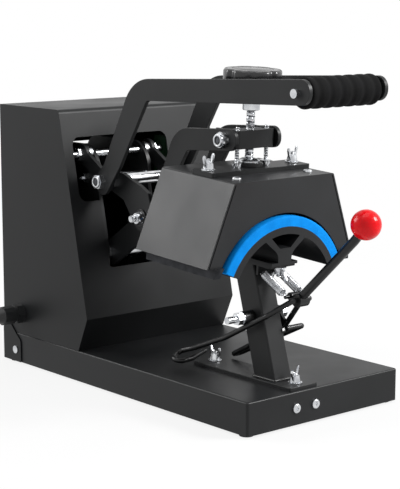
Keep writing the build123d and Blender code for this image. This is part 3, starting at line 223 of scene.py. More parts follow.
def powder_coat(name, dark, light, roughness, specular, peel=0.035):
    """Baked satin powder coat: a little colour drift, orange peel this deep in mm, uneven shine."""
    material, tree, output, where = start_material(name)
    drift, speck, peel_noise = [
        add_node(tree, "ShaderNodeTexNoise", None,
                 {"Vector": where, "Scale": per_metre(wide), "Detail": detail})
        for wide, detail in ((DRIFT_MM, 3.0), (SPECK_MM, 2.0), (PEEL_MM, 3.0))]
    mixed = add_node(tree, "ShaderNodeMath", {"operation": "MULTIPLY_ADD"},
                     {0: speck.outputs["Fac"], 1: 0.45, 2: drift.outputs["Fac"]})
    shade = add_node(tree, "ShaderNodeValToRGB", None, {"Fac": mixed.outputs["Value"]})
    for stop, position, colour in zip(shade.color_ramp.elements, (0.45, 0.95), (dark, light)):
        stop.position, stop.color = position, linear(colour)
    shine = add_node(tree, "ShaderNodeMapRange", None, {
        "Value": drift.outputs["Fac"], "From Min": 0.3, "From Max": 0.7,
        "To Min": roughness - 0.04, "To Max": roughness + 0.05})
    bump = add_node(tree, "ShaderNodeBump", None, {
        "Height": peel_noise.outputs["Fac"], "Strength": 0.5, "Distance": peel * MM})
    coat = add_node(tree, "ShaderNodeBsdfPrincipled", None, {
        "Base Color": shade.outputs["Color"], "Roughness": shine.outputs["Result"],
        "Specular IOR Level": specular, "Normal": bump.outputs["Normal"]})
    tree.links.new(coat.outputs["BSDF"], output.inputs["Surface"])
    return material


# one coat in three copies: the cabinet's is darker as painted shade, the head's lighter and shinier as
# painted light
cabinet_coat_painted_dark = powder_coat("powder_coat_cabinet", "#0d0e0f", "#141516", 0.42, 0.20)
bar_coat_painted_midtone = powder_coat("powder_coat_base_and_bars", "#101112", "#18191a", 0.42, 0.24)
head_coat_painted_light = powder_coat("powder_coat_head", "#121314", "#1a1b1d", 0.40, 0.33)
form_coat = powder_coat("cast_aluminium_coated_black", "#111213", "#1b1c1e", 0.50, 0.26, 0.06)
wire_coat = powder_coat("dipped_black_wire", "#090a0a", "#101112", 0.34, 0.34, 0.02)
print("coats:", [m.name for m in bpy.data.materials if m.name.startswith("powder")])

# %% [markdown]
# ## Bright zinc and machined steel
# Fasteners, axles and springs are zinc plated: a cool white metal with a soft shine, which
# follows the fine tool marks under it and has duller patches. The spacer tubes are polished,
# and the platen and inner steel are dark and dull.

# %% Metals
PATCH_MM = 9.0      # how wide the duller patches are


def plated_metal(name, dark, light, roughness, mark_mm, depth):
    """A plated or bare metal with patches, and tool marks of this width and depth in mm."""
    material, tree, output, where = start_material(name)
    patch, marks = [
        add_node(tree, "ShaderNodeTexNoise", None,
                 {"Vector": where, "Scale": per_metre(wide), "Detail": detail})
        for wide, detail in ((PATCH_MM, 4.0), (mark_mm, 2.0))]
    shade = add_node(tree, "ShaderNodeValToRGB", None, {"Fac": patch.outputs["Fac"]})
    for stop, position, colour in zip(shade.color_ramp.elements, (0.3, 0.7), (dark, light)):
        stop.position, stop.color = position, linear(colour)
    shine = add_node(tree, "ShaderNodeMapRange", None, {
        "Value": patch.outputs["Fac"], "To Min": roughness - 0.06, "To Max": roughness + 0.1})
    bump = add_node(tree, "ShaderNodeBump", None, {
        "Height": marks.outputs["Fac"], "Strength": 0.4, "Distance": depth * MM})
    metal = add_node(tree, "ShaderNodeBsdfPrincipled", None, {
        "Base Color": shade.outputs["Color"], "Metallic": 1.0, "Roughness": shine.outputs["Result"],
        "Normal": bump.outputs["Normal"]})
    tree.links.new(metal.outputs["BSDF"], output.inputs["Surface"])
    return material


zinc = plated_metal("bright_zinc_plated_steel", "#b4b6ba", "#dcdee0", 0.24, 1.2, 0.02)
chrome = plated_metal("polished_spacer_tube", "#c4c6c9", "#ebecee", 0.14, 2.0, 0.01)
dark_steel = plated_metal("oiled_dark_steel", "#3a3b3e", "#56585c", 0.46, 1.4, 0.03)
platen_metal = plated_metal("grey_coated_platen", "#222325", "#38393c", 0.55, 1.6, 0.04)
print("metals:", ", ".join(m.name for m in (zinc, chrome, dark_steel, platen_metal)))

# %% [markdown]
# ## Plastics, rubber, foam and the silicone pad
# The red ball and the black knob are polished phenolic, smooth and glossy with a thin clear
# coat. Foam is full of tiny cells, so it gets small pits and almost no shine, and rubber is
# nearly as dull. The silicone pad is sponge, blue right through, with a fine cut grain.

# %% Plastics, rubber, foam
SHADE_MM = 14.0     # how wide the drift of a moulding's colour is


def moulded(name, dark, light, roughness, specular, grain_mm, depth, coat=0.0):
    """A moulded or foamed material: drifted colour, pits of this width and depth in mm."""
    material, tree, output, where = start_material(name)
    drift, grain = [
        add_node(tree, "ShaderNodeTexNoise", None,
                 {"Vector": where, "Scale": per_metre(wide), "Detail": detail})
        for wide, detail in ((SHADE_MM, 4.0), (grain_mm, 3.0))]
    mixed = add_node(tree, "ShaderNodeMath", {"operation": "MULTIPLY_ADD"},
                     {0: grain.outputs["Fac"], 1: 0.5, 2: drift.outputs["Fac"]})
    shade = add_node(tree, "ShaderNodeValToRGB", None, {"Fac": mixed.outputs["Value"]})
    for stop, position, colour in zip(shade.color_ramp.elements, (0.5, 1.0), (dark, light)):
        stop.position, stop.color = position, linear(colour)
    shine = add_node(tree, "ShaderNodeMapRange", None, {
        "Value": drift.outputs["Fac"], "To Min": max(roughness - 0.04, 0.03), "To Max": roughness + 0.06})
    bump = add_node(tree, "ShaderNodeBump", None, {
        "Height": grain.outputs["Fac"], "Strength": 0.6, "Distance": depth * MM})
    plastic = add_node(tree, "ShaderNodeBsdfPrincipled", None, {
        "Base Color": shade.outputs["Color"], "Roughness": shine.outputs["Result"],
        "Specular IOR Level": specular, "Coat Weight": coat, "Coat Roughness": 0.05,
        "Normal": bump.outputs["Normal"]})
    tree.links.new(plastic.outputs["BSDF"], output.inputs["Surface"])
    return material


red_phenolic = moulded("red_phenolic_ball", "#c0000a", "#d8020f", 0.2, 0.18, 3.0, 0.01, 0.05)
black_phenolic = moulded("black_phenolic_knob", "#0c0c0d", "#161618", 0.26, 0.5, 2.0, 0.015, 0.2)
black_nylon = moulded("black_nylon", "#101112", "#1c1d1e", 0.42, 0.45, 1.5, 0.03)
rubber = moulded("black_rubber_feet", "#0d0d0d", "#181818", 0.7, 0.3, 1.2, 0.05)
foam = moulded("black_foam_rubber", "#070707", "#101011", 0.85, 0.1, 1.0, 0.25)
blue_silicone = moulded("blue_silicone_sponge", "#0074c4", "#0886da", 0.7, 0.06, 1.1, 0.12)
board_green = moulded("circuit_board_green", "#0b3a1d", "#14522b", 0.4, 0.4, 2.5, 0.02)
heater_orange = moulded("orange_silicone_heater", "#9c3d14", "#b84d1c", 0.6, 0.3, 1.5, 0.05)
blanket_white = moulded("woven_glass_blanket", "#c9c5b4", "#e6e2d4", 0.9, 0.2, 1.6, 0.3)
key_grey = moulded("grey_button_plastic", "#83868a", "#a0a3a7", 0.45, 0.45, 1.2, 0.02)
panel_black = moulded("matt_panel_plastic", "#1c1d20", "#292a2e", 0.5, 0.4, 1.3, 0.04)
display_dark = moulded("smoked_display_window", "#07100c", "#0d1a14", 0.08, 0.5, 6.0, 0.002, 0.3)
segment_grey = moulded("unlit_display_segment", "#2e3a34", "#3a4840", 0.3, 0.4, 2.0, 0.005)
mark_white = moulded("printed_white_mark", "#c8cacc", "#dcdedf", 0.5, 0.3, 1.0, 0.005)
print(len(bpy.data.materials), "materials so far")

# %% [markdown]
# ## Finishes for the solids whose shape is already right
# Each solid keeps its mesh and gets the finish of the real piece. One table pairs them, so a
# missing name shows at once.

# %% Give the solids their finishes
FINISHES = {
    cabinet_coat_painted_dark: ["cabinet_shell", "rear_panel"],
    bar_coat_painted_midtone: ["base_tray", "pedestal_plate", "pedestal_tube", "head_arm_left", "head_arm_right",
               "rocker_plates", "toggle_links", "handle_arm_left", "handle_arm_right", "crank_plates",
               "crosspiece", "pressure_bar", "form_head_plate", "frame_plates"],
    head_coat_painted_light: ["head_cover", "head_end_panels"],
    form_coat: ["lower_form"],
    wire_coat: ["bail_wire_left", "bail_wire_right", "lever_rod", "bail_hubs"],
    dark_steel: ["pedestal_stiffener", "trunnion_block", "grip_tube"],
    platen_metal: ["heater_platen"],
    zinc: ["tray_screws", "fixed_axles", "axle_nuts", "wing_bolts", "platen_studs", "cover_screws",
           "guide_bolts", "thrust_disc", "pressure_screw", "arm_bolts", "grip_bolts", "link_shaft",
           "bail_axle", "bail_springs"],
    chrome: ["link_spacers"],
    red_phenolic: ["ball_knob", "power_rocker"],
    black_phenolic: ["pressure_knob"],
    black_nylon: ["cable_gland", "gland_locknut", "switch_frame"],
    rubber: ["rubber_feet"],
    foam: ["foam_grip"],
    blue_silicone: ["silicone_pad"],
    board_green: ["controller_board"],
    heater_orange: ["heater_mat"],
    blanket_white: ["insulation_blanket"],
    key_grey: ["button_set", "button_up", "button_down", "button_start"],
    panel_black: ["panel_bezel"],
    display_dark: ["display_window"],
}
dressed = {name for names in FINISHES.values() for name in names}
for material, names in FINISHES.items():
    for name in names:
        node[name].data.materials.clear()
        node[name].data.materials.append(material)
print("solids without a finish:", sorted(set(node) - dressed))

# %% [markdown]
# ## Profiles and pieces
# Most small hardware is turned on a lathe or cut from hexagon bar. Both are a profile swept
# round an axis, so one helper spins a profile, and a point may carry its own outline, such as
# a hexagon. Every shell is closed, with its faces turned outwards. A second helper joins such
# meshes into one named piece.

# %% Spin a profile
def hexagon(angle):
    """How far out a hexagon's flats are at one angle, against its corners."""
    return cos(pi / 6) / cos((angle % (pi / 3)) - pi / 6)


def circle(angle):
    """A round outline is the same at every angle."""
    return 1.0


def spun(profile, segments=36, ring=False):
    """A closed mesh from (radius, height) or (radius, height, outline) points, in millimetres."""
    build = bmesh.new()
    loops = []
    for point in profile:
        radius, height, outline = (*point, circle)[:3]
        angles = [2 * pi * step / segments for step in range(1 if radius == 0 else segments)]
        loops.append([build.verts.new((radius * outline(a) * cos(a) * MM,
                                       radius * outline(a) * sin(a) * MM, height * MM)) for a in angles])
    pairs = list(zip(loops, loops[1:])) + ([(loops[-1], loops[0])] if ring else [])
    for low, high in pairs:
        for step in range(segments):
            after = (step + 1) % segments
            corners = [low[step % len(low)], low[after % len(low)],
                       high[after % len(high)], high[step % len(high)]]
            # a loop at the axis has one point, which a face holds only once
            face = list(dict.fromkeys(corners))
            if len(face) > 2:
                build.faces.new(face)
    bmesh.ops.recalc_face_normals(build, faces=build.faces)
    return as_mesh(build, "spun")


WASHER_HEIGHT = 1.4
washer_shape = spun([(4.2, 0), (7.6, 0), (8.0, 0.3), (8.0, 1.1), (7.6, WASHER_HEIGHT),
                     (4.2, WASHER_HEIGHT)], ring=True)
print("a washer has", len(washer_shape.polygons), "faces")

# %% Join meshes into one piece
def piece(name, meshes, finish, body=None, stands_for=(), smooth_angle=35.0):
    """One object of these meshes, at the origin, with a finish; it rides on a body if one is given."""
    build = bmesh.new()
    for mesh in meshes:
        build.from_mesh(mesh)
    joined = as_mesh(build, name)
    joined.materials.append(finish)
    joined.set_sharp_from_angle(angle=radians(smooth_angle))
    for face in joined.polygons:
        face.material_index, face.use_smooth = 0, True
    thing = in_scene(name, joined)
    if body:
        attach(thing, body)
    if stands_for:
        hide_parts(*stands_for)
    print(f"{name}: {len(joined.polygons)} faces")
    return thing


def moved(mesh, matrix):
    """A copy of a mesh, moved and turned."""
    copy = mesh.copy()
    copy.transform(matrix)
    return copy


def facing(spot, aim, spin=0.0):
    """A matrix that stands a spun shape on a spot with its axis along aim, turned by spin degrees."""
    turn = Vector(aim).to_track_quat("Z", "X").to_matrix().to_4x4()
    return Matrix.Translation(spot) @ turn @ Matrix.Rotation(radians(spin), 4, "Z")


print("a shape that faces the front has its top at", facing((0, 0, 0), (0, -1, 0)) @ Vector((0, 0, 1)))

# %% [markdown]
# ## Fasteners on points
# The same nut sits in many places. In Geometry Nodes each point of a cloud carries an aim and
# a spin, and the tree puts a copy of one shape on each. The copies are realised at the end,
# because an instance is lost when the model is exported.

# %% The scatter tree
def new_tree(name, inputs):
    """A Geometry Nodes tree with a geometry output and these named inputs."""
    tree = bpy.data.node_groups.new(name, "GeometryNodeTree")
    for label, kind in inputs:
        tree.interface.new_socket(name=label, in_out="INPUT", socket_type=kind)
    tree.interface.new_socket(name="Geometry", in_out="OUTPUT", socket_type="NodeSocketGeometry")
    return tree, add_node(tree, "NodeGroupInput"), add_node(tree, "NodeGroupOutput")


def close_tree(tree, geometry, finish, output):
    """Realises instances, sets the finish and feeds the tree's output."""
    real = add_node(tree, "GeometryNodeRealizeInstances", None, {"Geometry": geometry})
    done = add_node(tree, "GeometryNodeSetMaterial", None, {
        "Geometry": real.outputs["Geometry"], "Material": finish})
    tree.links.new(done.outputs["Geometry"], output.inputs["Geometry"])


scatter_tree, given, output = new_tree("fasteners_on_points", [
    ("Geometry", "NodeSocketGeometry"), ("Fastener", "NodeSocketObject"), ("Finish", "NodeSocketMaterial")])
shape = add_node(scatter_tree, "GeometryNodeObjectInfo", None, {"Object": given.outputs["Fastener"]})
aim, spin = [add_node(scatter_tree, "GeometryNodeInputNamedAttribute", {"data_type": kind}, {"Name": label})
             for label, kind in (("aim", "FLOAT_VECTOR"), ("spin", "FLOAT"))]
aimed = add_node(scatter_tree, "FunctionNodeAlignRotationToVector", {"axis": "Z"}, {
    "Vector": aim.outputs["Attribute"]})
spun_by = add_node(scatter_tree, "FunctionNodeAxisAngleToRotation", None, {
    "Axis": (0.0, 0.0, 1.0), "Angle": spin.outputs["Attribute"]})
turned = add_node(scatter_tree, "FunctionNodeRotateRotation", {"rotation_space": "LOCAL"}, {
    "Rotation": aimed.outputs["Rotation"], "Rotate By": spun_by.outputs["Rotation"]})
copies = add_node(scatter_tree, "GeometryNodeInstanceOnPoints", None, {
    "Points": given.outputs["Geometry"], "Instance": shape.outputs["Geometry"],
    "Rotation": turned.outputs["Rotation"]})
close_tree(scatter_tree, copies.outputs["Instances"], given.outputs["Finish"], output)
print("scatter tree:", len(scatter_tree.nodes), "nodes")

# %% Run a tree and keep a plain mesh
def grown(tree, start_mesh, **inputs):
    """Runs a tree on a start mesh, with inputs named as its sockets are, and returns a plain mesh."""
    holder = in_scene("holder", start_mesh)
    modifier = holder.modifiers.new("nodes", "NODES")
    modifier.node_group = tree
    for item in tree.interface.items_tree:
        label = item.name.replace(" ", "_").lower()
        if item.in_out == "INPUT" and label in inputs:
            modifier[item.identifier] = inputs[label]
    bpy.context.view_layer.update()
    result = bpy.data.meshes.new_from_object(holder.evaluated_get(bpy.context.evaluated_depsgraph_get()))
    holder.modifiers.remove(modifier)
    bpy.data.objects.remove(holder)
    return result


def scattered(shape_mesh, spots, finish):
    """One mesh with a copy of a shape on each (spot, aim, spin in degrees)."""
    points = bpy.data.meshes.new("points")
    points.from_pydata([tuple(spot) for spot, _, _ in spots], [], [])
    points.attributes.new("aim", "FLOAT_VECTOR", "POINT")
    points.attributes.new("spin", "FLOAT", "POINT")
    for index, (_, direction, degrees_round) in enumerate(spots):
        points.attributes["aim"].data[index].vector = direction
        points.attributes["spin"].data[index].value = radians(degrees_round)
    template = in_scene("template", shape_mesh)
    result = grown(scatter_tree, points, fastener=template, finish=finish)
    bpy.data.objects.remove(template)
    return result


print("a tree's result is always turned into a plain mesh")

# %% [markdown]
# ## Threads and springs
# A thread and a coil spring are the same idea: a small profile that climbs round a circle.
# One tree makes both. It sweeps a wire along a spiral curve, and for a thread it adds the
# solid core that the ridge stands on. The small threads are drawn with a pitch of 1 mm.

# %% The coil tree
THINNEST_CORE = 0.0001      # metres; a spring has none
CORE_SIDES = 24
coil_tree, given, output = new_tree("wire_round_a_circle", [
    ("Turns", "NodeSocketFloat"), ("Radius", "NodeSocketFloat"), ("Height", "NodeSocketFloat"),
    ("Wire Radius", "NodeSocketFloat"), ("Wire Sides", "NodeSocketInt"), ("Core Radius", "NodeSocketFloat"),
    ("Steps", "NodeSocketInt"), ("Finish", "NodeSocketMaterial")])
spiral = add_node(coil_tree, "GeometryNodeCurveSpiral", None, {
    "Resolution": given.outputs["Steps"], "Rotations": given.outputs["Turns"],
    "Start Radius": given.outputs["Radius"], "End Radius": given.outputs["Radius"],
    "Height": given.outputs["Height"]})
section = add_node(coil_tree, "GeometryNodeCurvePrimitiveCircle", {"mode": "RADIUS"}, {
    "Resolution": given.outputs["Wire Sides"], "Radius": given.outputs["Wire Radius"]})
ridge = add_node(coil_tree, "GeometryNodeCurveToMesh", None, {
    "Curve": spiral.outputs["Curve"], "Profile Curve": section.outputs["Curve"], "Fill Caps": True})
core = add_node(coil_tree, "GeometryNodeMeshCylinder", {"fill_type": "NGON"}, {
    "Vertices": CORE_SIDES, "Radius": given.outputs["Core Radius"], "Depth": given.outputs["Height"]})
half_height = add_node(coil_tree, "ShaderNodeMath", {"operation": "MULTIPLY"}, {
    0: given.outputs["Height"], 1: 0.5})
lift = add_node(coil_tree, "ShaderNodeCombineXYZ", None, {"Z": half_height.outputs["Value"]})
core_up = add_node(coil_tree, "GeometryNodeTransform", None, {
    "Geometry": core.outputs["Mesh"], "Translation": lift.outputs["Vector"]})
has_core = add_node(coil_tree, "FunctionNodeCompare", {"data_type": "FLOAT", "operation": "GREATER_THAN"}, {
    0: given.outputs["Core Radius"], 1: THINNEST_CORE})
core_or_not = add_node(coil_tree, "GeometryNodeSwitch", {"input_type": "GEOMETRY"}, {
    "Switch": has_core.outputs["Result"], "True": core_up.outputs["Geometry"]})
together = add_node(coil_tree, "GeometryNodeJoinGeometry")
coil_tree.links.new(ridge.outputs["Mesh"], together.inputs["Geometry"])
coil_tree.links.new(core_or_not.outputs["Output"], together.inputs["Geometry"])
close_tree(coil_tree, together.outputs["Geometry"], given.outputs["Finish"], output)


def coiled(turns, radius, height, wire, core, finish, sides=6, steps=20):
    """A spring, or with a core a thread, standing on the origin; sizes in mm, steps for each turn."""
    return grown(coil_tree, bpy.data.meshes.new("start"), turns=float(turns), radius=radius * MM,
                 height=height * MM, wire_radius=wire * MM, wire_sides=sides, core_radius=core * MM,
                 steps=steps, finish=finish)


def threaded(radius, length, pitch, finish):
    """A threaded rod of this outer radius: a diamond ridge that stands nearly half out of a solid core."""
    ridge_radius = 0.6 * pitch
    return coiled(length / pitch, radius - ridge_radius, length, ridge_radius,
                  radius - 0.9 * ridge_radius, finish, sides=4)


print("coil tree:", len(coil_tree.nodes), "nodes")

# %% [markdown]
# ## The pressure screw
# The screw that sets the pressure is 10 mm thick, with a pitch of 2 mm. Only the part that
# shows is threaded: from the disc on the head up to the flanged sleeve under the knob.

# %% Pressure screw
SCREW_FOOT, SLEEVE_FOOT, KNOB_FOOT = 24.0, 84.0, 113.0      # up the head
SCREW_RADIUS, SCREW_PITCH = 5.0, 2.0
sleeve_shape = spun([(0, SLEEVE_FOOT), (9.0, SLEEVE_FOOT), (9.5, 84.5), (9.5, 92), (7.4, 92.6),
                     (7.4, KNOB_FOOT), (0, KNOB_FOOT)])
screw_parts = [
    moved(threaded(SCREW_RADIUS, SLEEVE_FOOT - SCREW_FOOT, SCREW_PITCH, zinc),
          facing(on_head(0, 0, SCREW_FOOT), head_up)),
    moved(sleeve_shape, HEAD_FRAME),
]
piece("pressure_screw_threaded", screw_parts, zinc, "screw", ["pressure_screw"])

# %% [markdown]
# ## Guide bolts
# Two long studs, threaded all the way, keep the head square to the crosspiece. Each is held
# by a nut where it meets the head, with a washer on top.

# %% Guide bolts
GUIDE_ACROSS, GUIDE_DEPTH = 21.5, -3.9
GUIDE_RADIUS, GUIDE_LENGTH, NUT_HEIGHT = 2.5, 49.0, 4.6
SMALL_PITCH = 1.0
guide_rod = threaded(GUIDE_RADIUS, GUIDE_LENGTH, SMALL_PITCH, zinc)
small_nut = spun([(0, 0), (5.0, 0), (5.6, 0.5, hexagon), (5.6, 4.1, hexagon), (5.0, NUT_HEIGHT),
                  (0, NUT_HEIGHT)])
thin_washer = spun([(2.6, 0), (6.0, 0), (6.2, 0.3), (6.2, 0.9), (2.6, 0.9)], ring=True)
guide_parts = []
for across in (-GUIDE_ACROSS, GUIDE_ACROSS):
    guide_parts += [
        moved(guide_rod, facing(on_head(across, GUIDE_DEPTH, COVER_TOP), head_up)),
        moved(small_nut, facing(on_head(across, GUIDE_DEPTH, BAR_TOP), head_up, 20.0)),
        moved(thin_washer, facing(on_head(across, GUIDE_DEPTH, BAR_TOP + NUT_HEIGHT), head_up)),
    ]
piece("guide_bolts_threaded", guide_parts, zinc, "head", ["guide_bolts"])

# %% [markdown]
# ## Wing nuts
# A wing nut is cast: a cone shaped hub with two ears that sweep up and out. The ears are a
# flat outline given a thickness and a bevel, so that their soft edges catch light.

# %% One wing nut
EAR_THICKNESS, EAR_BEVEL = 2.3, 0.55


def raised(build, face, direction):
    """Extrudes one flat face along a direction in metres."""
    added = bmesh.ops.extrude_face_region(build, geom=[face])
    bmesh.ops.translate(build, vec=direction,
                        verts=[v for v in added["geom"] if isinstance(v, bmesh.types.BMVert)])


def wing_nut_mesh():
    """A wing nut seated on the origin, its wings along X."""
    build = bmesh.new()
    outline = [(1.5, 1.0), (5.0, 0.9), (8.4, 3.2), (12.2, 8.4), (13.9, 12.4), (13.2, 15.2), (11.4, 15.8),
               (9.6, 14.0), (7.6, 9.8), (5.2, 7.0), (1.5, 6.4)]
    for side in (-1, 1):
        flat = [build.verts.new((side * x * MM, -EAR_THICKNESS / 2 * MM, z * MM)) for x, z in outline]
        raised(build, build.faces.new(flat), (0, EAR_THICKNESS * MM, 0))
    bmesh.ops.recalc_face_normals(build, faces=build.faces)
    rims = [e for e in build.edges if len(e.link_faces) == 2 and e.calc_face_angle(0) > radians(50)]
    bmesh.ops.bevel(build, geom=rims, offset=EAR_BEVEL * MM, segments=2, profile=0.6, affect="EDGES")
    build.from_mesh(spun([(0, 0), (5.8, 0), (6.2, 0.5), (5.4, 4.5), (4.8, 7.0), (4.3, 7.4), (0, 7.4)]))
    return as_mesh(build, "wing_nut")


wing_nut = wing_nut_mesh()
print("a wing nut has", len(wing_nut.polygons), "faces")

# %% Wing nuts on their studs
STUD_RADIUS = 2.9
BASE_STUD_Y, FORM_STUD_DEPTH = (-213.5, -80.0), (-56.5, 22.0)
PLATEN_STUD_ACROSS, PLATEN_STUD_DEPTH = 62.0, -4.0
base_up = (0, 0, 1)
bolts_foot, plate_top = box_mm("wing_bolts")[0][Z], box_mm("pedestal_plate")[1][Z]
bolt_heads = [(place(MIDDLE_X, y, bolts_foot), base_up, 0.0) for y in BASE_STUD_Y]
studs_base = [(place(MIDDLE_X, y, plate_top), base_up, turn) for y, turn in zip(BASE_STUD_Y, (30.0, 75.0))]
studs_form = [(on_head(0, depth, FORM_UNDERSIDE), -head_up, 90.0) for depth in FORM_STUD_DEPTH]
studs_platen = [(on_head(side * PLATEN_STUD_ACROSS, PLATEN_STUD_DEPTH, BAR_TOP), head_up, 25.0)
                for side in (-1, 1)]


def stacked(spots, lift):
    """The same spots, lifted along their own aim by some millimetres."""
    return [(spot + Vector(aim_at) * lift * MM, aim_at, turn) for spot, aim_at, turn in spots]


def wing_nut_set(spots, stud_end):
    """Washers, wing nuts and stud ends of this length on these spots."""
    return [scattered(washer_shape, spots, zinc), scattered(wing_nut, stacked(spots, WASHER_HEIGHT), zinc),
            scattered(threaded(STUD_RADIUS, stud_end, SMALL_PITCH, zinc), spots, zinc)]


def plain_studs(spots, low, high):
    """The smooth part of each stud, from low to high along the spot's aim."""
    stud = spun([(0, low), (STUD_RADIUS, low), (STUD_RADIUS, high), (0, high)], 24)
    return [moved(stud, facing(spot, aim_at)) for spot, aim_at, _ in spots]


hex_head = spun([(0, 0), (5.6, 0), (6.0, 0.5, hexagon), (6.0, 5.0, hexagon), (0, 5.0)])
base_hardware = [*wing_nut_set(studs_base + studs_form, 11.0), *plain_studs(bolt_heads, 0.0, 12.6),
                 *plain_studs(studs_form, -9.0, 0.1), scattered(hex_head, bolt_heads, zinc)]
head_hardware = [*wing_nut_set(studs_platen, 12.0), *plain_studs(studs_platen, -14.0, 0.1)]
piece("wing_nuts_on_base", base_hardware, zinc, "base", ["wing_bolts"])
piece("wing_nuts_on_head", head_hardware, zinc, "head", ["platen_studs"])

# %% [markdown]
# ## Lock nuts
# The link shaft and the trunnion end in lock nuts. A lock nut's top is a round collar rolled
# over a black nylon ring with the bolt's end inside it: a bright ring with a dark middle,
# which stands out on the black arms. The bolt's end is drawn in dark steel as painted shade,
# for the shadow inside the nut.

# %% Lock nut tops
collar = spun([(4.6, 0), (7.2, 0), (7.2, 1.6), (6.7, 2.4), (5.6, 2.7), (4.9, 2.5), (4.6, 2.0)], ring=True)
nylon_ring = spun([(0, 0), (4.65, 0), (4.65, 1.3), (3.5, 1.1), (0, 1.1)])
# painted shade: the bolt's end is coloured dark steel for the shadow inside the nut
dark_painted_bolt_end = spun([(0, 0.9), (3.0, 0.9), (3.0, 1.5), (2.5, 1.9), (0, 1.9)], 24)
TRUNNION_END, TRUNNION_DEPTH, TRUNNION_UP = 40.5, 5.5, 52.0     # out from the middle, and its axis
link_end = box_half("link_shaft", X)
link_y, link_z = box_middle("link_shaft", Y), box_middle("link_shaft", Z)
link_ends = [(place(MIDDLE_X + side * link_end, link_y, link_z), (side, 0, 0), 0.0) for side in (-1, 1)]
trunnion_ends = [(on_head(side * TRUNNION_END, TRUNNION_DEPTH, TRUNNION_UP), (side, 0, 0), 0.0)
                 for side in (-1, 1)]
for body, spots in (("handle", link_ends), ("head_arm", trunnion_ends)):
    piece(f"lock_nut_collars_{body}", [scattered(collar, spots, zinc)], zinc, body)
    piece(f"nylon_rings_{body}", [scattered(nylon_ring, spots, black_nylon)], black_nylon,
          body)
    piece(f"bolt_ends_{body}", [scattered(dark_painted_bolt_end, spots, dark_steel)], dark_steel, body)

# %% [markdown]
# ## Coil springs
# Two close coiled springs, of wire 1.2 mm thick with an eye at both ends, pull the wire bail
# up. They run from the form's hooks to the bail, as one piece that rides on no body.

# %% Springs
SPRING_ACROSS = 12.0        # each spring, out from the middle
FORM_HOOK_DEPTH, FORM_HOOK_UP = -42.4, -88.5
BAIL_HOOK_Y, BAIL_HOOK_Z = -211.0, 140.0
EYE_TURN = 0.93             # an eye isn't quite a full turn
HOOK_CLEARANCE = 2.9        # the lower eye stops this far short of the bail's middle


def spring_between(top, low, radius=4.2, wire=0.62, hook=4.4):
    """A close coiled spring with an eye at each end, between two points in metres."""
    axis = low - top
    coil_length = axis.length / MM - 2 * hook
    pitch = 2.35 * wire
    coil = moved(coiled(coil_length / pitch, radius, coil_length, wire, 0.0, zinc, sides=7),
                 facing(top + axis.normalized() * hook * MM, axis))
    eyes = []
    for end, inward in ((top, axis.normalized()), (low, -axis.normalized())):
        eye = coiled(EYE_TURN, hook - wire, 0.05, wire, 0.0, zinc, sides=7, steps=28)
        across = inward.cross(Vector((1, 0, 0))).normalized()
        eyes.append(moved(eye, facing(end + inward * (hook - wire) * MM, across)))
    return [coil, *eyes]


spring_parts = []
for side in (-1, 1):
    hook_top = on_head(side * SPRING_ACROSS, FORM_HOOK_DEPTH, FORM_HOOK_UP)
    hook_low = place(MIDDLE_X + side * SPRING_ACROSS, BAIL_HOOK_Y, BAIL_HOOK_Z)
    short_of_bail = (hook_low - hook_top).normalized() * HOOK_CLEARANCE * MM
    spring_parts += spring_between(hook_top, hook_low - short_of_bail)
springs = piece("coil_springs", spring_parts, zinc, None, ["bail_springs"], 60.0)
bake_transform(springs)

# %% [markdown]
# ## The silicone pad
# The pad is a sponge sheet cut to the form and bent over it. Its top is a little crowned and
# its edges are soft. It is one section, swept round the form's arch and closed at both ends.

# %% Pad
PAD_MIDDLE = -116.6                 # up the head, the arch's axis
PAD_IN, PAD_OUT = 81.6, 93.3        # radii of its two faces
PAD_FRONT, PAD_REAR = -64.9, 35.1   # along the head's depth
PAD_END = 25.4                      # degrees above level where the arch ends
PAD_CROWN, PAD_SOFTNESS = 0.35, 2.2
PAD_STEPS, CORNER_STEPS, TOP_STEPS = 64, 5, 10


def pad_section():
    """The pad's section as (depth, radius) in mm: a flat under face, soft corners and a crowned top."""
    shoulder = PAD_OUT - PAD_CROWN
    rear, front = PAD_REAR - PAD_SOFTNESS, PAD_FRONT + PAD_SOFTNESS

    def corner(centre, start):
        """A quarter round outer corner, from its start angle in degrees."""
        angles = [radians(start + 90.0 * step / CORNER_STEPS) for step in range(CORNER_STEPS + 1)]
        return [(centre + PAD_SOFTNESS * cos(a), shoulder - PAD_SOFTNESS + PAD_SOFTNESS * sin(a))
                for a in angles]

    shares = [step / TOP_STEPS for step in range(1, TOP_STEPS)]
    top = [(rear + (front - rear) * share, shoulder + PAD_CROWN * sin(pi * share)) for share in shares]
    return [(PAD_FRONT, PAD_IN), (PAD_REAR, PAD_IN), *corner(rear, 0.0), *top, *corner(front, 90.0)]


pad_build = bmesh.new()
pad_points, pad_loops = pad_section(), []
for step in range(PAD_STEPS + 1):
    angle = radians(PAD_END + (180.0 - 2 * PAD_END) * step / PAD_STEPS)
    pad_loops.append([pad_build.verts.new(on_head(radius * cos(angle), depth,
                                                  PAD_MIDDLE + radius * sin(angle)))
                      for depth, radius in pad_points])
for near, far in zip(pad_loops, pad_loops[1:]):
    for index in range(len(pad_points)):
        after = (index + 1) % len(pad_points)
        pad_build.faces.new([near[index], near[after], far[after], far[index]])
pad_build.faces.new(pad_loops[0])
pad_build.faces.new(list(reversed(pad_loops[-1])))
bmesh.ops.recalc_face_normals(pad_build, faces=pad_build.faces)
pad = piece("silicone_pad_soft", [as_mesh(pad_build, "pad")], blue_silicone, "base",
            ["silicone_pad"], 50.0)

# %% [markdown]
# ## The foam grip
# The grip is a foam sleeve, tight on its steel tube, with rounded ends and soft finger waves
# about 16 mm apart.

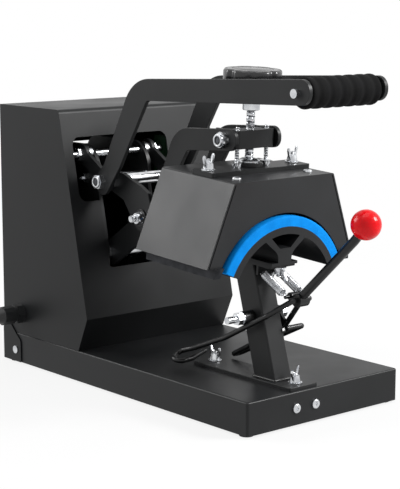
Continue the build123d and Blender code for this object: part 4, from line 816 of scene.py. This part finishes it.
# %% Foam grip
grip_half, grip_out, grip_bore = box_half("foam_grip", X), box_half("foam_grip", Y), box_half("grip_tube", Y)
WAVE_LENGTH, WAVE_DEPTH = 16.0, 0.9
ROLL_LENGTH, ROLL_DEPTH = 3.0, 2.2      # the rounding at each end
GRIP_STEPS = 120
grip_profile = [(grip_bore, -grip_half)]
for step in range(GRIP_STEPS + 1):
    along = -grip_half + 2 * grip_half * step / GRIP_STEPS
    wave = WAVE_DEPTH * (0.5 - 0.5 * cos(2 * pi * along / WAVE_LENGTH)) ** 2
    from_end = min((grip_half - abs(along)) / ROLL_LENGTH, 1.0)
    roll = ROLL_DEPTH * (1.0 - (1.0 - (1.0 - from_end) ** 2) ** 0.5)
    grip_profile.append((grip_out - wave - roll, along))
grip_profile.append((grip_bore, grip_half))
grip_middle = place(MIDDLE_X, box_middle("foam_grip", Y), box_middle("foam_grip", Z))
grip_mesh = moved(spun(grip_profile, 48, ring=True), facing(grip_middle, (1, 0, 0)))
grip = piece("foam_grip_waved", [grip_mesh], foam, "handle", ["foam_grip"], 60.0)

# %% [markdown]
# ## The knob
# The knob is one moulding with eight finger hollows, soft edges and a round disc let into its
# top. Its outline is a share of the radius at each angle.

# %% Knob
def lobed(angle, count=8, depth=0.09):
    """How far out the knob's edge is at one angle: a narrow hollow between wide lobes."""
    return 1.0 - depth * max(cos(count * angle), 0.0) ** 1.5


KNOB_TOP = 129.0
knob_profile = [(0, KNOB_FOOT), (29.5, KNOB_FOOT, lobed), (31.6, 113.6, lobed), (32.5, 115.4, lobed),
                (32.5, 126.2, lobed), (31.8, 127.9, lobed), (30.2, 128.8, lobed), (28.4, KNOB_TOP, lobed),
                (23.6, KNOB_TOP), (23.0, 128.5), (22.6, 128.1), (22.0, 128.5), (21.4, 128.9), (0, KNOB_TOP)]
piece("pressure_knob_lobed", [moved(spun(knob_profile, 128), HEAD_FRAME)], black_phenolic,
      "screw", ["pressure_knob"], 40.0)

# %% [markdown]
# ## Toggle pins
# Each toggle pin carries a washer that covers the links' pivot, then a nut and a short end of
# thread. The washer is coloured black as painted shadow, for the shade round the nut. The
# nuts of the trunnion's bolts are of the same kind, one size larger.

# %% Toggle pins and trunnion bolts
TOGGLE_Y, TOGGLE_Z = 5.0, 204.0
LINK_GAP = 0.2                                          # between the links and their washers
PIN_NUT_FOOT, PIN_END = 42.3, 48.2                      # out from the middle, along the pin
link_face = box_half("toggle_links", X) + LINK_GAP
pin_shaft = spun([(0, 17.0), (4.0, 17.0), (4.0, 48.4), (0, 48.4)])
pin_head = spun([(0, 19.0), (7.0, 19.0), (7.5, 19.5, hexagon), (7.5, 24.0, hexagon), (0, 24.0)])
pin_nut = spun([(0, 0), (7.0, 0), (7.5, 0.5, hexagon), (7.5, 4.4, hexagon), (6.6, 5.0), (6.2, 6.0), (0, 6.0)])
pin_thread = threaded(3.9, 7.7, 1.25, zinc)
pin_washer_painted_shadow = spun([(4.2, 0), (10.3, 0), (10.5, 0.3), (10.5, 1.1), (10.0, 1.5), (4.2, 1.5)], ring=True)
trunnion_shaft = spun([(0, 12.0), (4.0, 12.0), (4.0, 34.0), (0, 34.0)])
trunnion_nut = spun([(0, 34.0), (8.4, 34.0), (9.2, 34.7, hexagon), (9.2, 39.2, hexagon), (8.0, 40.4),
                     (0, 40.4)])


def at_pin(side, across):
    """A point on the toggle pins' axis, some millimetres out from the middle on one side."""
    return place(MIDDLE_X + side * across, TOGGLE_Y, TOGGLE_Z)


pin_parts, washer_parts_painted_shadow = [], []
trunnion_middle = on_head(0, TRUNNION_DEPTH, TRUNNION_UP)
for side in (-1, 1):
    out = (side, 0, 0)
    pin_parts += [
        moved(pin_shaft, facing(at_pin(side, 0), out)),
        moved(pin_head, facing(at_pin(side, 0), out)),
        moved(pin_nut, facing(at_pin(side, PIN_NUT_FOOT), out, 12.0)),
        moved(pin_thread, facing(at_pin(side, PIN_END), out)),
        moved(trunnion_shaft, facing(trunnion_middle, out)),
        moved(trunnion_nut, facing(trunnion_middle, out, 8.0)),
    ]
    washer_parts_painted_shadow.append(moved(pin_washer_painted_shadow, facing(at_pin(side, link_face), out)))
piece("toggle_pins_and_trunnion_bolts", pin_parts, zinc, "head_arm", ["arm_bolts"])
# painted shadow: the washers get the black coat for the shade round each nut
piece("toggle_washers_black", washer_parts_painted_shadow, wire_coat, "head_arm")

# %% [markdown]
# ## Thrust disc
# The screw presses on a thick black disc, and a bright flange on it holds the screw's foot.

# %% Thrust disc
DISC_TOP = 26.7
disc = spun([(0, BAR_TOP), (15.2, BAR_TOP), (15.6, 22.7), (15.6, 26.2), (15.0, DISC_TOP), (0, DISC_TOP)], 48)
flange = spun([(0, DISC_TOP), (11.6, DISC_TOP), (12.0, 27.1), (12.0, 28.4), (10.6, 29.2), (8.4, 30.6),
               (0, 30.7)], 48)
piece("thrust_disc_black", [moved(disc, HEAD_FRAME)], wire_coat, "head", ["thrust_disc"])
piece("thrust_flange_bright", [moved(flange, HEAD_FRAME)], zinc, "head")

# %% [markdown]
# ## Cover screws
# The cover is held by pan head screws. A cross is cut out of the spun head with a boolean, so
# that the recess is real geometry.

# %% Cover screws
def carved(body_mesh, cutter_mesh):
    """The body with the cutter's shape taken out of it, as a plain mesh."""
    body_thing, cutter_thing = in_scene("carve_body", body_mesh), in_scene("carve_cutter", cutter_mesh)
    cut = body_thing.modifiers.new("cut", "BOOLEAN")
    cut.operation = "DIFFERENCE"
    cut.solver = "EXACT"
    cut.object = cutter_thing
    bpy.context.view_layer.update()
    result = bpy.data.meshes.new_from_object(body_thing.evaluated_get(bpy.context.evaluated_depsgraph_get()))
    for thing in (body_thing, cutter_thing):
        bpy.data.objects.remove(thing)
    return result


def cross_cutter(reach, width, low, high):
    """A plus shaped prism from low to high, in millimetres."""
    half_width = width / 2
    corners = [(reach, -half_width), (reach, half_width), (half_width, half_width)]
    outline = [(x * cos(turn) - y * sin(turn), x * sin(turn) + y * cos(turn))
               for turn in (0, pi / 2, pi, 3 * pi / 2) for x, y in corners]
    build = bmesh.new()
    face = build.faces.new([build.verts.new((x * MM, y * MM, low * MM)) for x, y in outline])
    raised(build, face, (0, 0, (high - low) * MM))
    bmesh.ops.recalc_face_normals(build, faces=build.faces)
    return as_mesh(build, "cross")


COVER_SCREW_ACROSS, COVER_SCREW_DEPTH = 52.5, -39.5
pan_head = carved(spun([(0, 0), (5.1, 0), (5.1, 0.9), (4.7, 1.8), (3.7, 2.4), (0, 2.6)], 40),
                  cross_cutter(reach=2.6, width=1.0, low=1.1, high=4.0))
screw_shank = spun([(0, -10.0), (2.5, -10.0), (2.5, 0.1), (0, 0.1)], 24)
cover_spots = [(on_head(side * COVER_SCREW_ACROSS, COVER_SCREW_DEPTH, COVER_TOP), head_up, turn)
               for side, turn in ((-1, 15.0), (1, 55.0))]
cover_parts = [scattered(pan_head, cover_spots, zinc), scattered(screw_shank, cover_spots, zinc)]
piece("cover_screws_crossed", cover_parts, zinc, "head", ["cover_screws"])

# %% [markdown]
# ## Weld beads and print
# The pedestal tube is welded to its plate. A weld bead is a row of overlapping puddles, so the
# scatter tree lays small drops along the seam, about 1.5 mm apart. The control panel gets
# plain marks only: the bars of four unlit digits, and an arrow, a dash or a plus on each button.

# %% Weld bead
TUBE_FOOT_DEPTH = 33.9              # front to back, where the leaning tube meets its plate
TUBE_HALF, SEAM_OUT = 12.5, 0.7     # the tube's half width, and how far the bead stands out
SIDE_STEPS, FRONT_STEPS = 23, 15
SIDE_SPIN, FRONT_SPIN = 17.0, 23.0  # degrees from drop to drop, so that no two look the same
drop = spun([(0, -1.0), (1.0, -0.8), (1.4, 0.0), (1.0, 0.8), (0, 1.0)], 12)
seam_up = plate_top + SEAM_OUT
tube_front = box_mm("pedestal_tube")[0][Y]
bead = []
for step in range(SIDE_STEPS + 1):
    along = tube_front + TUBE_FOOT_DEPTH * step / SIDE_STEPS
    for side in (-1, 1):
        spot = place(MIDDLE_X + side * (TUBE_HALF + SEAM_OUT), along, seam_up)
        bead.append((spot, (side, 0, 1), SIDE_SPIN * step))
for step in range(FRONT_STEPS + 1):
    across = -TUBE_HALF + 2 * TUBE_HALF * step / FRONT_STEPS
    bead.append((place(MIDDLE_X + across, tube_front - 0.2, seam_up), (0, -1, 1), FRONT_SPIN * step))
piece("pedestal_weld_bead", [scattered(drop, bead, wire_coat)], wire_coat, "base")

# %% Marks on the control panel
def bar_on_side(x, y, z, wide, tall, turn=0.0, thick=0.25):
    """A thin printed bar on a face that looks to +X, centred on (y, z), in millimetres."""
    build = bmesh.new()
    bmesh.ops.create_cube(build, size=MM)
    bmesh.ops.scale(build, vec=(thick, wide, tall), verts=build.verts)
    bmesh.ops.rotate(build, cent=(0, 0, 0), matrix=Matrix.Rotation(radians(turn), 3, "X"), verts=build.verts)
    bmesh.ops.translate(build, vec=place(x, y, z), verts=build.verts)
    return as_mesh(build, "bar")


SUNK = 0.05                             # a bar's middle lies this far inside its face
DIGIT_PITCH, DIGIT_HALF_WIDTH, DIGIT_HALF_HEIGHT = 10.0, 3.2, 7.0
LEVEL_BAR, UPRIGHT_BAR, BAR_WIDE = 5.0, 5.4, 1.2
STROKE_LONG, STROKE_WIDE = 4.4, 0.9
glass, digit_z = box_mm("display_window")[1][X] - SUNK, box_middle("display_window", Z)
digits = []
for count in range(4):
    centre = box_middle("display_window", Y) + (count - 1.5) * DIGIT_PITCH
    for lift in (-DIGIT_HALF_HEIGHT, 0.0, DIGIT_HALF_HEIGHT):
        digits.append(bar_on_side(glass, centre, digit_z + lift, LEVEL_BAR, BAR_WIDE))
    for sideways in (-DIGIT_HALF_WIDTH, DIGIT_HALF_WIDTH):
        for lift in (-DIGIT_HALF_HEIGHT / 2, DIGIT_HALF_HEIGHT / 2):
            digits.append(bar_on_side(glass, centre + sideways, digit_z + lift, BAR_WIDE, UPRIGHT_BAR))
piece("display_digits_unlit", digits, segment_grey, "base")

# each stroke is how far it lies sideways in millimetres and how many degrees it is turned
STROKES = {"set": [(0.0, 0.0)], "up": [(-1.2, -45.0), (1.2, 45.0)],
           "down": [(-1.2, 45.0), (1.2, -45.0)], "start": [(0.0, 90.0), (0.0, 0.0)]}
for key, strokes in STROKES.items():
    button = f"button_{key}"
    face, key_y, key_z = box_mm(button)[1][X] - SUNK, box_middle(button, Y), box_middle(button, Z)
    bars = [bar_on_side(face, key_y + sideways, key_z, STROKE_LONG, STROKE_WIDE, turn)
            for sideways, turn in strokes]
    piece(f"mark_on_button_{key}", bars, mark_white, f"{key}_button")

# %% [markdown]
# ## Floor, world and light
# A plain white sweep and big soft lamps, as in a catalogue studio. The camera and anything
# that mirrors see a white world. The light on the press comes from a grey world and three soft
# boxes, so that a colour comes out about as it is written. The floor's paper fades to the same
# white with distance, so no horizon shows.

# %% Floor and world
FLOOR_HALF = 40         # metres, so that its edge is out of sight
floor_corners = [(x * FLOOR_HALF, y * FLOOR_HALF, 0) for x, y in ((-1, -1), (1, -1), (1, 1), (-1, 1))]
floor_mesh = bpy.data.meshes.new("floor")
floor_mesh.from_pydata(floor_corners, [], [(0, 1, 2, 3)])
floor = in_scene("floor", floor_mesh)


def seen_directly(tree):
    """1 for camera, mirror and glass rays, and 0 for the light that falls on things."""
    path = add_node(tree, "ShaderNodeLightPath")
    mirror = add_node(tree, "ShaderNodeMath", {"operation": "MAXIMUM"},
                      {0: path.outputs["Is Glossy Ray"], 1: path.outputs["Is Transmission Ray"]})
    either = add_node(tree, "ShaderNodeMath", {"operation": "MAXIMUM"},
                      {0: path.outputs["Is Camera Ray"], 1: mirror.outputs["Value"]})
    return either.outputs["Value"]


floor_white, tree, output, where = start_material("white_floor_paper")
paper = add_node(tree, "ShaderNodeBsdfDiffuse", None, {"Color": linear("#d8d8d8")})
glow = add_node(tree, "ShaderNodeEmission", None, {"Color": (1, 1, 1, 1), "Strength": 1.0})
away = add_node(tree, "ShaderNodeVectorMath", {"operation": "LENGTH"}, {0: where})
fade = add_node(tree, "ShaderNodeMapRange", {"interpolation_type": "SMOOTHSTEP"}, {
    "Value": away.outputs["Value"], "From Min": 0.3, "From Max": 1.3, "To Min": 0.84, "To Max": 1.0})
share = add_node(tree, "ShaderNodeMath", {"operation": "MULTIPLY"}, {
    0: seen_directly(tree), 1: fade.outputs["Result"]})
mixed_floor = add_node(tree, "ShaderNodeMixShader", None, {
    "Fac": share.outputs["Value"], 1: paper.outputs["BSDF"], 2: glow.outputs["Emission"]})
tree.links.new(mixed_floor.outputs["Shader"], output.inputs["Surface"])
floor_mesh.materials.append(floor_white)

world = bpy.data.worlds.new("studio")
bpy.context.scene.world = world
world.use_nodes = True
tree = world.node_tree
tree.nodes.clear()
white_world = add_node(tree, "ShaderNodeBackground", None, {"Color": (1, 1, 1, 1), "Strength": 1.0})
grey_world = add_node(tree, "ShaderNodeBackground", None, {"Color": (1, 1, 1, 1), "Strength": 0.45})
mixed_world = add_node(tree, "ShaderNodeMixShader", None, {
    "Fac": seen_directly(tree), 1: grey_world.outputs["Background"], 2: white_world.outputs["Background"]})
add_node(tree, "ShaderNodeOutputWorld", None, {"Surface": mixed_world.outputs["Shader"]})
print("world:", len(tree.nodes), "nodes")

# %% Soft boxes
def soft_box(name, spot, aim, width, height, power):
    """A rectangular area lamp at one place in metres, facing another; power in watts."""
    lamp = in_scene(name, bpy.data.lights.new(name, "AREA"))
    lamp.data.shape = "RECTANGLE"
    lamp.data.size, lamp.data.size_y, lamp.data.energy = width, height, power
    lamp.location = spot
    lamp.rotation_euler = (Vector(aim) - Vector(spot)).to_track_quat("-Z", "Y").to_euler()


soft_box("left_rear_box", (-1.5, 1.9, 1.5), (0.0, -0.1, 0.2), 1.4, 1.2, 42.0)
soft_box("right_front_box", (1.35, -1.55, 1.5), (0.0, 0.1, 0.3), 0.9, 0.7, 72.0)
soft_box("overhead_box", (-0.2, -0.2, 2.2), (0.0, 0.0, 0.0), 1.6, 1.6, 14.0)
bpy.context.scene.view_settings.view_transform = "Standard"
